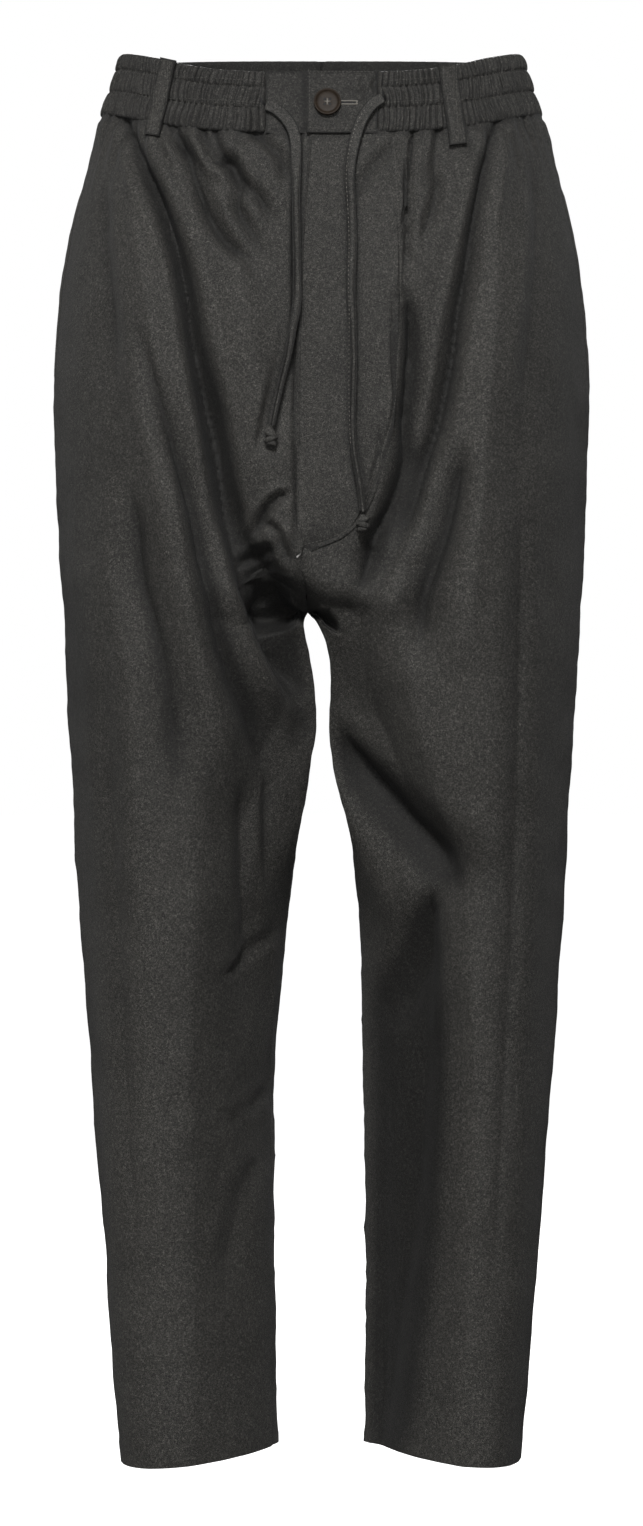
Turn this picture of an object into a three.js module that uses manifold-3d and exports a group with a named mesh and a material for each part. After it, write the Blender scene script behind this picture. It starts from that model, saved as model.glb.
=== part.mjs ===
// Harem pants, hollow as they are worn: two legs, a gathered waistband, a fly placket,
// belt loops, pocket edges, a button and two flat ties with knots.
// Millimetres, +Z up, the front faces -Y, and the wearer's left is +X.
// The origin is the centre of the waistband's ring, half way up its sides.

import * as THREE from 'three';
import Module from 'manifold-3d';
import { mergeVertices } from 'three/addons/utils/BufferGeometryUtils.js';

const wasm = await Module();
wasm.setup();

// Cloth and seams
const WALL = 1.6;
const SEAM_GAP = 0.3;
const LAY_GAP = 0.5;
const SIDE_SEAM_AHEAD = 24;

// Waistband
const BAND_HEIGHT = 43;
const BAND_TOP = 24.5;
const BAND_BOTTOM = BAND_TOP - BAND_HEIGHT;
const BAND_WALL = 2.8;
const FLAT_WALL = 2.0;
const FRONT_DIP = 22;
const BACK_RISE = 8.5;
const BAND_DEPTH = 110;
const GATHERS_PER_SIDE = 84;
const INNER_STEP = 4;
const FLAT_END = { right: 34, left: 42 };
const OVERLAP_EDGE = -6;
const UNDERLAP_END = 24;

// Crotch and hem
const CROTCH_Z = -366;
const CROTCH_Y = 10;
const FRONT_TURN_Z = -335;
const BACK_TURN_Z = -316;
const LAST_TURN = 75;
const CALM_CROTCH = 70;
const HEM_Z = -955;
const LEG_SHAPE_Z = -540;
const HEM_INNER_LIFT = 8;
const HEM_FRONT_DROP = 4;

// How full the sections' corners are, from 0.55 for a round to 1 for a square
const FULL_HIP = 0.6;
const FULL_OUTSIDE = 0.56;
const FULL_CROTCH = 0.78;
const FULL_INSIDE = 0.44;

// Grids
const FRONT_COLUMNS = 18;
const BACK_COLUMNS = 10;
const CURVE_STEPS = 28;

// The panels' rows: their height at the side seam and at the middle or inseam, where they
// crowd together round the crotch
const PANEL_ROWS = [
  [BAND_BOTTOM, BAND_BOTTOM], [-25, -25], [-36, -36], [-51, -51], [-70, -70], [-92, -92],
  [-117, -117], [-145, -145], [-174, -174], [-204, -204], [-232, -233], [-257, -261],
  [-279, -287], [-298, -308], [-315, -324], [-331, -337], [-346, -347], [-360, -354.5],
  [-373, -360], [-386, -363.4], [-398, -365.3], [-410, CROTCH_Z], [-422, -371.5], [-434, -382],
  [-447, -397], [-461, -417], [-477, -441], [-496, -468], [-518, -498], [-544, -532],
  [-574, -568], [-609, -606], [-650, -650], [-697, -697], [-746, -746], [-797, -797],
  [-849, -849], [-903, -903], [HEM_Z, HEM_Z],
].map(([side, middle]) => ({ side, middle }));

// The cross sections of one half, seen from above: the outermost point (out, outY), the
// foremost one (ridge, front) and the rearmost one (seat, back)
const SECTIONS = [
  { z: 24.5, out: 140, outY: 0, ridge: 34, front: -105, seat: 34, back: 105 },
  { z: 7, out: 145, outY: 0, ridge: 34, front: -107.5, seat: 34, back: 107.5 },
  { z: -4, out: 148.5, outY: 0, ridge: 34, front: -109.5, seat: 34, back: 109.5 },
  { z: -18.5, out: 154, outY: 1, ridge: 36, front: -112, seat: 36, back: 112 },
  { z: -30, out: 158.5, outY: 2, ridge: 42, front: -115.5, seat: 42, back: 117 },
  { z: -43, out: 161.5, outY: 3, ridge: 48, front: -118.5, seat: 50, back: 121.5 },
  { z: -69, out: 168, outY: 4, ridge: 56, front: -122, seat: 60, back: 129 },
  { z: -111, out: 179, outY: 6, ridge: 64, front: -127, seat: 66, back: 137 },
  { z: -153, out: 184.5, outY: 8, ridge: 72, front: -131, seat: 72, back: 143 },
  { z: -216, out: 188, outY: 8, ridge: 80, front: -134, seat: 78, back: 143 },
  { z: -280, out: 186, outY: 8, ridge: 88, front: -134, seat: 84, back: 137 },
  { z: -340, out: 182.5, outY: 6, ridge: 96, front: -131, seat: 90, back: 128 },
  { z: -385, out: 180.5, outY: 5, ridge: 102, front: -127, seat: 95, back: 120 },
  { z: -450, out: 176.5, outY: 5, ridge: 109, front: -117, seat: 98, back: 110 },
  { z: -540, out: 172, outY: 5, ridge: 115, front: -103, seat: 100, back: 97 },
  { z: -630, out: 166, outY: 4, ridge: 118, front: -91, seat: 99, back: 87 },
  { z: -720, out: 159, outY: 3, ridge: 118, front: -80, seat: 97, back: 79 },
  { z: -800, out: 153, outY: 2, ridge: 116, front: -71, seat: 94, back: 71 },
  { z: -880, out: 147.5, outY: 2, ridge: 114, front: -62, seat: 91, back: 63 },
  { z: -955, out: 141, outY: 1, ridge: 111, front: -55, seat: 88, back: 57 },
];

// The fronts' meeting line: its x and its y, down to where it turns under
const FRONT_RISE = [
  { z: 24.5, x: -4, y: -105 },
  { z: -18.5, x: -4, y: -112 },
  { z: -43, x: -6, y: -117 },
  { z: -69, x: -8, y: -119.5 },
  { z: -153, x: -12, y: -125 },
  { z: -280, x: -14, y: -125 },
  { z: -335, x: -13, y: -121 },
  { z: -366, x: -9.5, y: -116 },
];
const BACK_RISE_LINE = [
  { z: 24.5, x: 0, y: 105 },
  { z: -18.5, x: 0, y: 112 },
  { z: -69, x: 0, y: 127 },
  { z: -153, x: 0, y: 139 },
  { z: -216, x: 0, y: 137 },
  { z: -316, x: -6, y: 120 },
  { z: -366, x: -9.5, y: 108 },
];

// The legs' inner edges as the photo's front view shows them, and how far back they lie
const INSEAMS = [
  { z: -366, right: -9.5, left: -9.5, y: 10 },
  { z: -373, right: -13, left: -3, y: 11 },
  { z: -385, right: -10.5, left: 3, y: 12 },
  { z: -400, right: -7, left: 6, y: 14 },
  { z: -426, right: -3, left: 5.5, y: 17 },
  { z: -440, right: -2, left: 4.5, y: 18 },
  { z: -454, right: -4, left: 4.5, y: 19 },
  { z: -482, right: -9, left: 9, y: 21 },
  { z: -510, right: -14, left: 16, y: 22 },
  { z: -538, right: -18, left: 22.5, y: 23 },
  { z: -594, right: -26, left: 26.5, y: 24 },
  { z: -650, right: -30.5, left: 28, y: 25 },
  { z: -706, right: -33, left: 29.5, y: 25 },
  { z: -846, right: -32, left: 30, y: 22 },
  { z: -955, right: -30, left: 29, y: 18 },
];

// Large folds: a path of [x, z] seen from the front, or through the cloth for those on the
// back. Negative depth is a valley, a share of the path fades in and out, and beside it a
// ridge of its own height may rise, on the right of the path's run (1) or the left (-1)
const FOLDS = [
  { face: 'front', depth: -13, width: 17, ridge: 5, beside: 1, fadeIn: 0.45, fadeOut: 0.15,
    path: [[-130, -42], [-117, -69], [-105, -101], [-93, -140], [-83, -187], [-73, -242],
      [-66, -286], [-58, -316], [-46, -348], [-31, -385], [-19, -423]] },
  { face: 'front', depth: -6, width: 16, ridge: 3, beside: 1, fadeIn: 0.3, fadeOut: 0.3,
    path: [[-117, -178], [-105, -217], [-93, -256], [-83, -295], [-75, -337], [-68, -378],
      [-58, -411], [-46, -441], [-38, -471], [-33, -495]] },
  { face: 'front', depth: -5, width: 19, ridge: 2, beside: 1, fadeIn: 0.35, fadeOut: 0.4,
    path: [[-137, -281], [-130, -311], [-125, -342], [-117, -376], [-107, -406], [-102, -436],
      [-100, -471], [-100, -505]] },
  { face: 'front', depth: -4, width: 13, ridge: 2, beside: 1, fadeIn: 0.3, fadeOut: 0.2,
    path: [[-52, -470], [-54, -518], [-55, -554], [-54, -592], [-60, -611]] },
  { face: 'front', depth: -6, width: 14, ridge: 4, beside: 1, fadeIn: 0.35, fadeOut: 0.3,
    path: [[-76, -616], [-60, -611], [-43, -598], [-28, -586]] },
  { face: 'front', depth: -5, width: 14, ridge: 3, beside: 1, fadeIn: 0.35, fadeOut: 0.3,
    path: [[-84, -722], [-70, -718], [-52, -709], [-36, -698]] },
  { face: 'front', depth: -3.5, width: 13, ridge: 1.5, beside: -1, fadeIn: 0.3, fadeOut: 0.4,
    path: [[-36, -730], [-50, -758], [-62, -786], [-70, -824]] },
  { face: 'front', depth: -5, width: 12, ridge: 3, beside: 1, fadeIn: 0.35, fadeOut: 0.4,
    path: [[-96, -58], [-87, -76], [-75, -98], [-63, -116], [-43, -133]] },
  { face: 'front', depth: -4, width: 11, ridge: 2, beside: -1, fadeIn: 0.15, fadeOut: 0.5,
    path: [[-70, -44], [-63, -74], [-53, -96], [-40, -116], [-28, -137]] },
  { face: 'front', depth: -11, width: 17, ridge: 4.5, beside: -1, fadeIn: 0.45, fadeOut: 0.2,
    path: [[115, -50], [110, -78], [105, -106], [100, -128], [93, -167], [83, -207],
      [76, -242], [68, -271], [61, -296], [53, -316], [41, -341], [28, -365]] },
  { face: 'front', depth: -8, width: 17, ridge: 4, beside: -1, fadeIn: 0.35, fadeOut: 0.3,
    path: [[98, -261], [88, -279], [77, -316], [69, -353], [66, -385], [62, -420]] },
  { face: 'front', depth: -5, width: 13, ridge: 2.5, beside: -1, fadeIn: 0.1, fadeOut: 0.5,
    path: [[84, -36], [81, -63], [76, -83], [70, -118], [66, -150]] },
  { face: 'front', depth: -11, width: 17, ridge: 6, beside: 1, fadeIn: 0.2, fadeOut: 0.3,
    path: [[12, -430], [28, -450], [46, -475], [68, -505], [88, -535], [104, -556]] },
  { face: 'front', depth: -6, width: 16, ridge: 2, beside: -1, fadeIn: 0.4, fadeOut: 0.4,
    path: [[84, -556], [75, -575], [68, -599], [55, -628], [44, -656]] },
  { face: 'front', depth: -6, width: 12, ridge: 2, beside: 1, fadeIn: 0.3, fadeOut: 0.3,
    path: [[65, -140], [69, -175], [69, -205], [64, -240], [56, -285]] },
  { face: 'front', depth: -4, width: 11, ridge: 2, beside: 1, fadeIn: 0.3, fadeOut: 0.3,
    path: [[-21, -288], [-33, -293], [-42, -306], [-48, -322]] },
  { face: 'back', depth: -12, width: 19, ridge: 5, beside: -1, fadeIn: 0.4, fadeOut: 0.15,
    path: [[122, -70], [108, -125], [96, -180], [84, -235], [70, -285], [52, -325],
      [30, -360]] },
  { face: 'back', depth: -11, width: 19, ridge: 5, beside: 1, fadeIn: 0.45, fadeOut: 0.15,
    path: [[-126, -60], [-112, -120], [-97, -185], [-82, -245], [-68, -292], [-48, -332],
      [-26, -366]] },
  { face: 'back', depth: -7, width: 19, ridge: 3, beside: -1, fadeIn: 0.35, fadeOut: 0.35,
    path: [[132, -250], [116, -300], [98, -350], [82, -400], [60, -440]] },
  { face: 'back', depth: -7, width: 19, ridge: 3, beside: 1, fadeIn: 0.35, fadeOut: 0.35,
    path: [[-136, -262], [-121, -308], [-104, -362], [-90, -408], [-66, -452]] },
  { face: 'back', depth: -8, width: 18, ridge: 4, beside: -1, fadeIn: 0.3, fadeOut: 0.3,
    path: [[34, -520], [62, -548], [94, -566], [128, -560]] },
  { face: 'back', depth: -7, width: 18, ridge: 4, beside: 1, fadeIn: 0.3, fadeOut: 0.3,
    path: [[-38, -505], [-66, -540], [-98, -560], [-130, -552]] },
  { face: 'back', depth: -5, width: 17, ridge: 3, beside: -1, fadeIn: 0.3, fadeOut: 0.4,
    path: [[44, -610], [76, -640], [112, -648]] },
  { face: 'back', depth: -5, width: 17, ridge: 3, beside: 1, fadeIn: 0.3, fadeOut: 0.4,
    path: [[-42, -655], [-74, -680], [-108, -684]] },
  { face: 'back', depth: -4, width: 14, ridge: 2, beside: -1, fadeIn: 0.1, fadeOut: 0.5,
    path: [[40, -22], [44, -60], [40, -100]] },
  { face: 'back', depth: -4, width: 14, ridge: 2, beside: 1, fadeIn: 0.1, fadeOut: 0.5,
    path: [[-66, -22], [-60, -66], [-64, -110]] },
];

// Waistband rows, down from the top edge, and how far the gathers stand out there: three
// elastic channels with two stitched rows between them
const BAND_GATHERS = [
  { down: 0, height: 0.9 },
  { down: 5.5, height: 1.5 },
  { down: 11, height: 0.7 },
  { down: 18.5, height: 1.6 },
  { down: 26, height: 0.7 },
  { down: 34.5, height: 1.6 },
  { down: 43, height: 0.8 },
];
const FLAT_ROWS = [0, 8, 16, 24, 32, 43];

// Belt loops: the distance round from the front's middle at the top and at the lower end
const LOOPS = [
  { name: 'belt_loop_front_right', side: 'right', top: 104, low: 114 },
  { name: 'belt_loop_front_left', side: 'left', top: 90, low: 97 },
  { name: 'belt_loop_back_right', side: 'right', top: 305, low: 312 },
  { name: 'belt_loop_back_left', side: 'left', top: 309, low: 315 },
  { name: 'belt_loop_back_centre', side: 'centre', top: 0, low: 0 },
];
const LOOP_WIDTH = 11;
const LOOP_WALL = 1.8;
const LOOP_CLEAR = 2.1;
const LOOP_BOW = 0.9;
const LOOP_ABOVE = 1;
const LOOP_BELOW = 5;

// Fly placket: how far it reaches to each side of the fronts' meeting line. It curves in at
// the foot, and its columns are the panel's own, with one edge moved.
const PLACKET_WALL = 1.3;
const PLACKET_CLEAR = 0.7;
const PLACKET_COLUMNS = 8;
const PLACKET_FOOT = -327;
const PLACKET = [
  { z: -40, free: 4, far: 67 },
  { z: -95, free: 4, far: 66 },
  { z: -158, free: 3, far: 66 },
  { z: -220, free: 3, far: 63 },
  { z: -246, free: 3, far: 58 },
  { z: -262, free: 3, far: 52 },
  { z: -286, free: 3, far: 42 },
  { z: -306, free: 3, far: 31 },
  { z: -322, free: 3, far: 12 },
  { z: -327, free: 2, far: 5 },
];

// Pocket mouths in the side seams
const POCKET_WALL = 1;
const POCKET_TOP = -58;
const POCKET_FOOT = -212;
const POCKET_NEAR = 1;
const POCKET_WIDTH = 13;

// Button and ties
const BUTTON = { x: 4, z: -20.4, radius: 9.5, thick: 3.2, rim: 1.5, dish: 0.8, hole: 1, pitch: 3.4 };
const TIE_WIDTH = 9;
const TIE_THICK = 2.2;
const KNOT = { wide: 6, deep: 4.6, high: 7 };
const TIE_RIGHT = [
  [-38, -111.2, -22], [-31, -112, -25], [-23, -113.2, -33], [-18, -116.5, -45], [-17, -121.6, -70],
  [-17, -124.8, -95], [-17, -126.6, -116], [-17, -128.4, -141], [-16.5, -129.2, -160],
  [-21, -129.6, -189], [-27, -130, -212], [-32, -131.4, -232], [-34, -132.2, -242],
];
const TIE_LEFT = [
  [42, -110.8, -17], [37, -111.8, -20], [32, -113.2, -25], [26, -115.8, -36], [21, -119.4, -54],
  [19, -122.8, -72], [20, -124.8, -90], [21, -127.8, -116], [20.5, -130.2, -141],
  [21, -131.8, -165], [21, -132.5, -199], [21, -132.6, -228], [22, -132.6, -255],
  [26, -132.2, -282], [28, -131, -300],
];

const SIDES = {
  left: { name: 'left', sign: 1 },
  right: { name: 'right', sign: -1 },
};

const v3 = (x, y, z) => new THREE.Vector3(x, y, z);
const mix = (a, b, t) => a + (b - a) * t;
const clamp01 = (t) => Math.min(1, Math.max(0, t));
const ease = (a, b, x) => {
  const t = clamp01((x - a) / (b - a));
  return t * t * (3 - 2 * t);
};

// An even-looking but irregular value from 0 to 1
function scatter(seed) {
  const s = Math.sin(seed * 12.9898 + 4.1) * 43758.5453;
  return s - Math.floor(s);
}

// A table's column at a height, smooth and without overshoot. Rows run downwards.
function follow(table, column, z) {
  const n = table.length;
  if (z >= table[0].z) return table[0][column];
  if (z <= table[n - 1].z) return table[n - 1][column];
  let i = 0;
  while (z < table[i + 1].z) i += 1;
  const slope = (k) => (table[k + 1][column] - table[k][column]) / (table[k + 1].z - table[k].z);
  const tangent = (k) => {
    if (k === 0) return slope(0);
    if (k === n - 1) return slope(n - 2);
    const before = slope(k - 1);
    const after = slope(k);
    return before * after <= 0 ? 0 : (2 * before * after) / (before + after);
  };
  const span = table[i + 1].z - table[i].z;
  const t = (z - table[i].z) / span;
  const rise = t * t * (3 - 2 * t);
  const lead = t * (1 - t) * (1 - t) * span * tangent(i);
  const trail = -t * t * (1 - t) * span * tangent(i + 1);
  return mix(table[i][column], table[i + 1][column], rise) + lead + trail;
}

// Where the fronts or backs meet: straight down, then in a quarter round under the crotch
function riseAt(table, turnZ, z) {
  const y = follow(table, 'y', z);
  const under = clamp01((turnZ - z) / (turnZ - CROTCH_Z));
  const share = 1 - Math.cbrt(1 - under ** 3);
  return { x: follow(table, 'x', z), y: mix(y, CROTCH_Y, share), turn: LAST_TURN * under * under };
}

// One half's section at a height, as a fine line from the front's middle, or the inseam,
// round the outside to the back's middle, in x counted outwards
function section(side, z) {
  const at = (column) => follow(SECTIONS, column, z);
  const s = side.sign;
  const outer = { x: at('out'), y: at('outY') };
  const fore = { x: at('ridge'), y: at('front') };
  const rear = { x: at('seat'), y: at('back') };
  let front = riseAt(FRONT_RISE, FRONT_TURN_Z, z);
  let back = riseAt(BACK_RISE_LINE, BACK_TURN_Z, z);
  if (z <= CROTCH_Z) {
    front = { x: follow(INSEAMS, side.name, z), y: follow(INSEAMS, 'y', z), turn: 90 };
    back = front;
  }
  const legs = ease(CROTCH_Z, LEG_SHAPE_Z, z);
  const under = mix(FULL_CROTCH, FULL_INSIDE, legs);
  const full = mix(FULL_HIP, FULL_OUTSIDE, legs);
  const leave = (end, peak, ahead) => {
    const angle = THREE.MathUtils.degToRad(end.turn);
    const sideways = 0.5 * Math.abs(peak.x - s * end.x);
    const reach = mix(sideways, under * Math.abs(peak.y - end.y), end.turn / 90);
    return { x: s * end.x + Math.cos(angle) * reach, y: end.y + ahead * Math.sin(angle) * reach };
  };
  const arrive = (end) => mix(0.5, under * 0.92, end.turn / 90);
  const points = [];
  const curve = (a, b, c, d) => {
    for (let i = points.length ? 1 : 0; i <= CURVE_STEPS; i += 1) {
      const t = i / CURVE_STEPS;
      const u = 1 - t;
      const blend = (k) => u * u * u * a[k] + 3 * u * u * t * b[k] + 3 * u * t * t * c[k] + t * t * t * d[k];
      points.push({ x: blend('x'), y: blend('y') });
    }
  };
  const start = { x: s * front.x, y: front.y };
  const end = { x: s * back.x, y: back.y };
  const foreSpan = Math.abs(fore.x - start.x);
  const rearSpan = Math.abs(rear.x - end.x);
  curve(start, leave(front, fore, -1), { x: fore.x - arrive(front) * foreSpan, y: fore.y }, fore);
  curve(fore, { x: mix(fore.x, outer.x, full), y: fore.y },
    { x: outer.x, y: mix(outer.y, fore.y, full) }, outer);
  const outermost = points.length - 1;
  curve(outer, { x: outer.x, y: mix(outer.y, rear.y, full) },
    { x: mix(rear.x, outer.x, full), y: rear.y }, rear);
  curve(rear, { x: rear.x - arrive(back) * rearSpan, y: rear.y }, leave(back, rear, 1), end);
  const along = [0];
  for (let i = 1; i < points.length; i += 1) {
    along.push(along[i - 1] + Math.hypot(points[i].x - points[i - 1].x, points[i].y - points[i - 1].y));
  }
  return { points, along, total: along[along.length - 1], side: along[outermost] - SIDE_SEAM_AHEAD };
}

// The waistband's line dips in front and rises at the back, and the hem lifts inside
function levelled(side, x, y, z) {
  const f = y / BAND_DEPTH;
  const band = (y < 0 ? -FRONT_DIP : BACK_RISE) * f * f * ease(-210, BAND_BOTTOM, z);
  const inner = clamp01((150 - x) / 120);
  const hem = (HEM_INNER_LIFT * inner + HEM_FRONT_DROP * Math.min(0, y / 55)) * ease(-800, HEM_Z, z);
  return v3(side.sign * x, y, z + band + hem);
}

// The point a distance along a section
function walk(side, cut, distance, z) {
  let i = 1;
  while (i < cut.along.length - 1 && cut.along[i] < distance) i += 1;
  const t = (distance - cut.along[i - 1]) / (cut.along[i] - cut.along[i - 1]);
  const a = cut.points[i - 1];
  const b = cut.points[i];
  return levelled(side, mix(a.x, b.x, t), mix(a.y, b.y, t), z);
}

// Distances of a panel's columns from the side seam to the middle: even ones outside, and
// what the crotch adds to the width is taken up near the inner edge
function spread(total, outer, columns, i) {
  const q = i / columns;
  return outer * q + (total - outer) * q ** 4;
}

function rowPoint(side, row, isFront, i) {
  const columns = isFront ? FRONT_COLUMNS : BACK_COLUMNS;
  const z = mix(row.side, row.middle, ease(0.3, 1, i / columns));
  const cut = section(side, z);
  const above = section(side, FRONT_TURN_Z);
  const joined = ease(CROTCH_Z, -660, z);
  const width = isFront ? cut.side : cut.total - cut.side;
  const high = isFront ? above.side : above.total - above.side;
  const outer = z < FRONT_TURN_Z ? mix(high, width, joined) : width;
  const distance = spread(width, outer, columns, i);
  return walk(side, cut, isFront ? cut.side - distance : cut.side + distance, z);
}

function rowPoints(side, row) {
  const points = [];
  for (let i = FRONT_COLUMNS; i > 0; i -= 1) points.push(rowPoint(side, row, true, i));
  for (let i = 0; i <= BACK_COLUMNS; i += 1) points.push(rowPoint(side, row, false, i));
  return points;
}

// Outward directions of a grid of points. Where two halves meet they point straight
// forward, back or down, so that both sides of a seam lean alike.
function outward(side, rows, meets, closes) {
  const last = rows[0].length - 1;
  return rows.map((row, r) => row.map((point, c) => {
    const upper = rows[Math.max(0, r - 1)][c];
    const lower = rows[Math.min(rows.length - 1, r + 1)][c];
    const isEdge = c === 0 || c === last;
    const before = isEdge && closes(r) ? row[last - 1] : row[Math.max(0, c - 1)];
    const after = isEdge && closes(r) ? row[1] : row[Math.min(last, c + 1)];
    const down = lower.clone().sub(upper);
    const round = after.clone().sub(before);
    const normal = down.cross(round).multiplyScalar(side.sign).normalize();
    if (isEdge && meets(r)) normal.setX(0).normalize();
    return normal;
  }));
}

const CROTCH_ROW = PANEL_ROWS.findIndex((row) => row.middle === CROTCH_Z);
const aboveCrotch = (r) => r < CROTCH_ROW;
const belowCrotch = (r) => r > CROTCH_ROW;

function panelNormals(side, rows) {
  const normals = outward(side, rows, aboveCrotch, belowCrotch);
  normals[CROTCH_ROW][0] = v3(0, 0, -1);
  normals[CROTCH_ROW][rows[0].length - 1] = v3(0, 0, -1);
  normals[0].forEach((normal) => normal.setZ(0).normalize());
  return normals;
}

// How far the folds move a point in or out
function foldDepth(point, normal) {
  let sum = 0;
  for (const fold of FOLDS) {
    const facing = fold.face === 'front' ? -normal.y : normal.y;
    if (facing <= 0) continue;
    const { path } = fold;
    let best = { gap: Infinity, share: 0, sideways: 0 };
    for (let i = 0; i < path.length - 1; i += 1) {
      const [ax, az] = path[i];
      const [bx, bz] = path[i + 1];
      const dx = bx - ax;
      const dz = bz - az;
      const t = clamp01(((point.x - ax) * dx + (point.z - az) * dz) / (dx * dx + dz * dz));
      const px = point.x - ax - t * dx;
      const pz = point.z - az - t * dz;
      const gap = Math.hypot(px, pz);
      if (gap < best.gap) {
        const turn = Math.sign(dx * pz - dz * px);
        best = { gap, share: (i + t) / (path.length - 1), sideways: -turn * gap };
      }
    }
    const strength = ease(0, fold.fadeIn, best.share) * (1 - ease(1 - fold.fadeOut, 1, best.share))
      * ease(0, 0.45, facing);
    const across = best.gap / fold.width;
    const beside = (best.sideways * fold.beside - 1.75 * fold.width) / fold.width;
    sum += strength * (fold.depth * Math.exp(-across * across) + fold.ridge * Math.exp(-beside * beside));
  }
  return sum;
}

// A leg's whole outer grid, with folds
function legSurface(side) {
  const base = PANEL_ROWS.map((row) => rowPoints(side, row));
  const lean = panelNormals(side, base);
  const crotch = base[CROTCH_ROW][0];
  const rows = base.map((row, r) => row.map((point, c) => {
    const fade = ease(0, 3, r) * ease(0, CALM_CROTCH, point.distanceTo(crotch));
    return point.clone().addScaledVector(lean[r][c], fade * foldDepth(point, lean[r][c]));
  }));
  return { rows, normals: panelNormals(side, rows) };
}

// A closed solid from an outer grid and a coarser or equal inner grid. The rims are
// stitched point to point along their length.
function wallSolid(outer, inner) {
  const points = [];
  const index = (grid) => grid.map((row) => row.map((p) => points.push(p) - 1));
  const out = index(outer);
  const inn = index(inner);
  const faces = [];
  const quads = (grid, isFlipped) => {
    for (let r = 0; r < grid.length - 1; r += 1) {
      for (let c = 0; c < grid[0].length - 1; c += 1) {
        const [a, b, d, e] = [grid[r][c], grid[r + 1][c], grid[r + 1][c + 1], grid[r][c + 1]];
        if (isFlipped) faces.push([a, d, b], [a, e, d]);
        else faces.push([a, b, d], [a, d, e]);
      }
    }
  };
  const rim = (a, b) => {
    let i = 0;
    let j = 0;
    while (i < a.length - 1 || j < b.length - 1) {
      const isNextA = j === b.length - 1
        || (i < a.length - 1 && (i + 1) / (a.length - 1) <= (j + 0.5 + 0.001) / (b.length - 1) + 1e-9);
      if (isNextA) {
        faces.push([a[i], a[i + 1], b[j]]);
        i += 1;
      } else {
        faces.push([a[i], b[j + 1], b[j]]);
        j += 1;
      }
    }
  };
  const column = (grid, c) => grid.map((row) => row[c]);
  quads(out, false);
  quads(inn, true);
  rim(out[0], inn[0]);
  rim(out[out.length - 1].slice().reverse(), inn[inn.length - 1].slice().reverse());
  rim(column(out, 0).reverse(), column(inn, 0).reverse());
  rim(column(out, out[0].length - 1), column(inn, inn[0].length - 1));
  return solid(points, faces);
}

// A geometry from points and faces, turned so that its faces point out
function solid(points, faces) {
  let volume = 0;
  for (const [a, b, c] of faces) volume += points[a].dot(points[b].clone().cross(points[c]));
  const ordered = volume < 0 ? faces.map(([a, b, c]) => [a, c, b]) : faces;
  const geometry = new THREE.BufferGeometry();
  geometry.setAttribute('position', new THREE.Float32BufferAttribute(points.flatMap((p) => p.toArray()), 3));
  geometry.setIndex(ordered.flat());
  geometry.computeVertexNormals();
  return geometry;
}

// Moves a grid's edge into the piece by half a seam's gap, at right angles to the edge
function seamShift(rows, r, c, inwardC) {
  if (r === CROTCH_ROW && rows[r][c].y === CROTCH_Y) {
    const away = rows[r][inwardC].clone().sub(rows[r][c]);
    return v3(Math.sign(away.x), Math.sign(away.y), 0).multiplyScalar(0.7 * SEAM_GAP);
  }
  const upper = rows[Math.max(0, r - 1)][c];
  const lower = rows[Math.min(rows.length - 1, r + 1)][c];
  const edge = lower.clone().sub(upper).normalize();
  const away = rows[r][inwardC].clone().sub(rows[r][c]);
  away.addScaledVector(edge, -away.dot(edge));
  return away.setLength(SEAM_GAP / 2);
}

function panel(leg, from, to) {
  const last = to - from;
  const rows = leg.rows.map((row) => row.slice(from, to + 1));
  const lean = leg.normals.map((row) => row.slice(from, to + 1));
  const shifts = rows.map((row, r) => row.map((p, c) => {
    if (c === 0) return seamShift(rows, r, 0, 1);
    if (c === last) return seamShift(rows, r, last, last - 1);
    return v3(0, 0, 0);
  }));
  shifts[0].forEach((shift) => { shift.z -= SEAM_GAP; });
  const outer = rows.map((row, r) => row.map((p, c) => p.clone().add(shifts[r][c])));
  const inner = outer.map((row, r) => row.map((p, c) => p.clone().addScaledVector(lean[r][c], -WALL)));
  return wallSolid(outer, inner);
}

// Waistband rows: the section at a height, measured round from the front's middle
function bandRow(side, down, distances) {
  const z = BAND_TOP - down;
  const cut = section(side, z);
  return distances(cut).map((d) => walk(side, cut, d, z));
}

function level(normals) {
  return normals.map((row) => row.map((n) => n.setZ(0).normalize()));
}

const never = () => false;

// A gathered half: waves of uneven height outside, plain inside
function gatheredHalf(side) {
  const start = FLAT_END[side.name];
  const count = GATHERS_PER_SIDE * 2;
  const spaced = (cut) => Array.from({ length: count + 1 }, (unused, i) => {
    const from = start + SEAM_GAP / 2;
    const to = cut.total - SEAM_GAP / 2;
    const drift = i === 0 || i === count ? 0 : 0.35 * (scatter(i + 60 * side.sign) - 0.5);
    return mix(from, to, (i + drift) / count);
  });
  const rows = BAND_GATHERS.map(({ down }) => bandRow(side, down, spaced));
  const lean = level(outward(side, rows, never, never));
  const outer = rows.map((row, r) => row.map((p, i) => {
    const isCrest = i % 2 === 1;
    const uneven = 0.7 + 0.6 * scatter(i * 3.7 + r * 0.9 + 11 * side.sign);
    const height = BAND_GATHERS[r].height * uneven * (isCrest ? 1 : -0.75);
    const settled = i === 0 || i === count ? 0 : height;
    return p.clone().addScaledVector(lean[r][i], settled);
  }));
  const inner = [0, 3, 6].map((r) => rows[r].map((p, i) => p.clone().addScaledVector(lean[r][i], -BAND_WALL))
    .filter((p, i) => i % INNER_STEP === 0));
  return wallSolid(outer, inner);
}

// A point of the band round its front: distances left of the middle are negative
function frontOfBand(down, distance) {
  const side = distance < 0 ? SIDES.right : SIDES.left;
  const z = BAND_TOP - down;
  return walk(side, section(side, z), Math.abs(distance), z);
}

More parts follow.
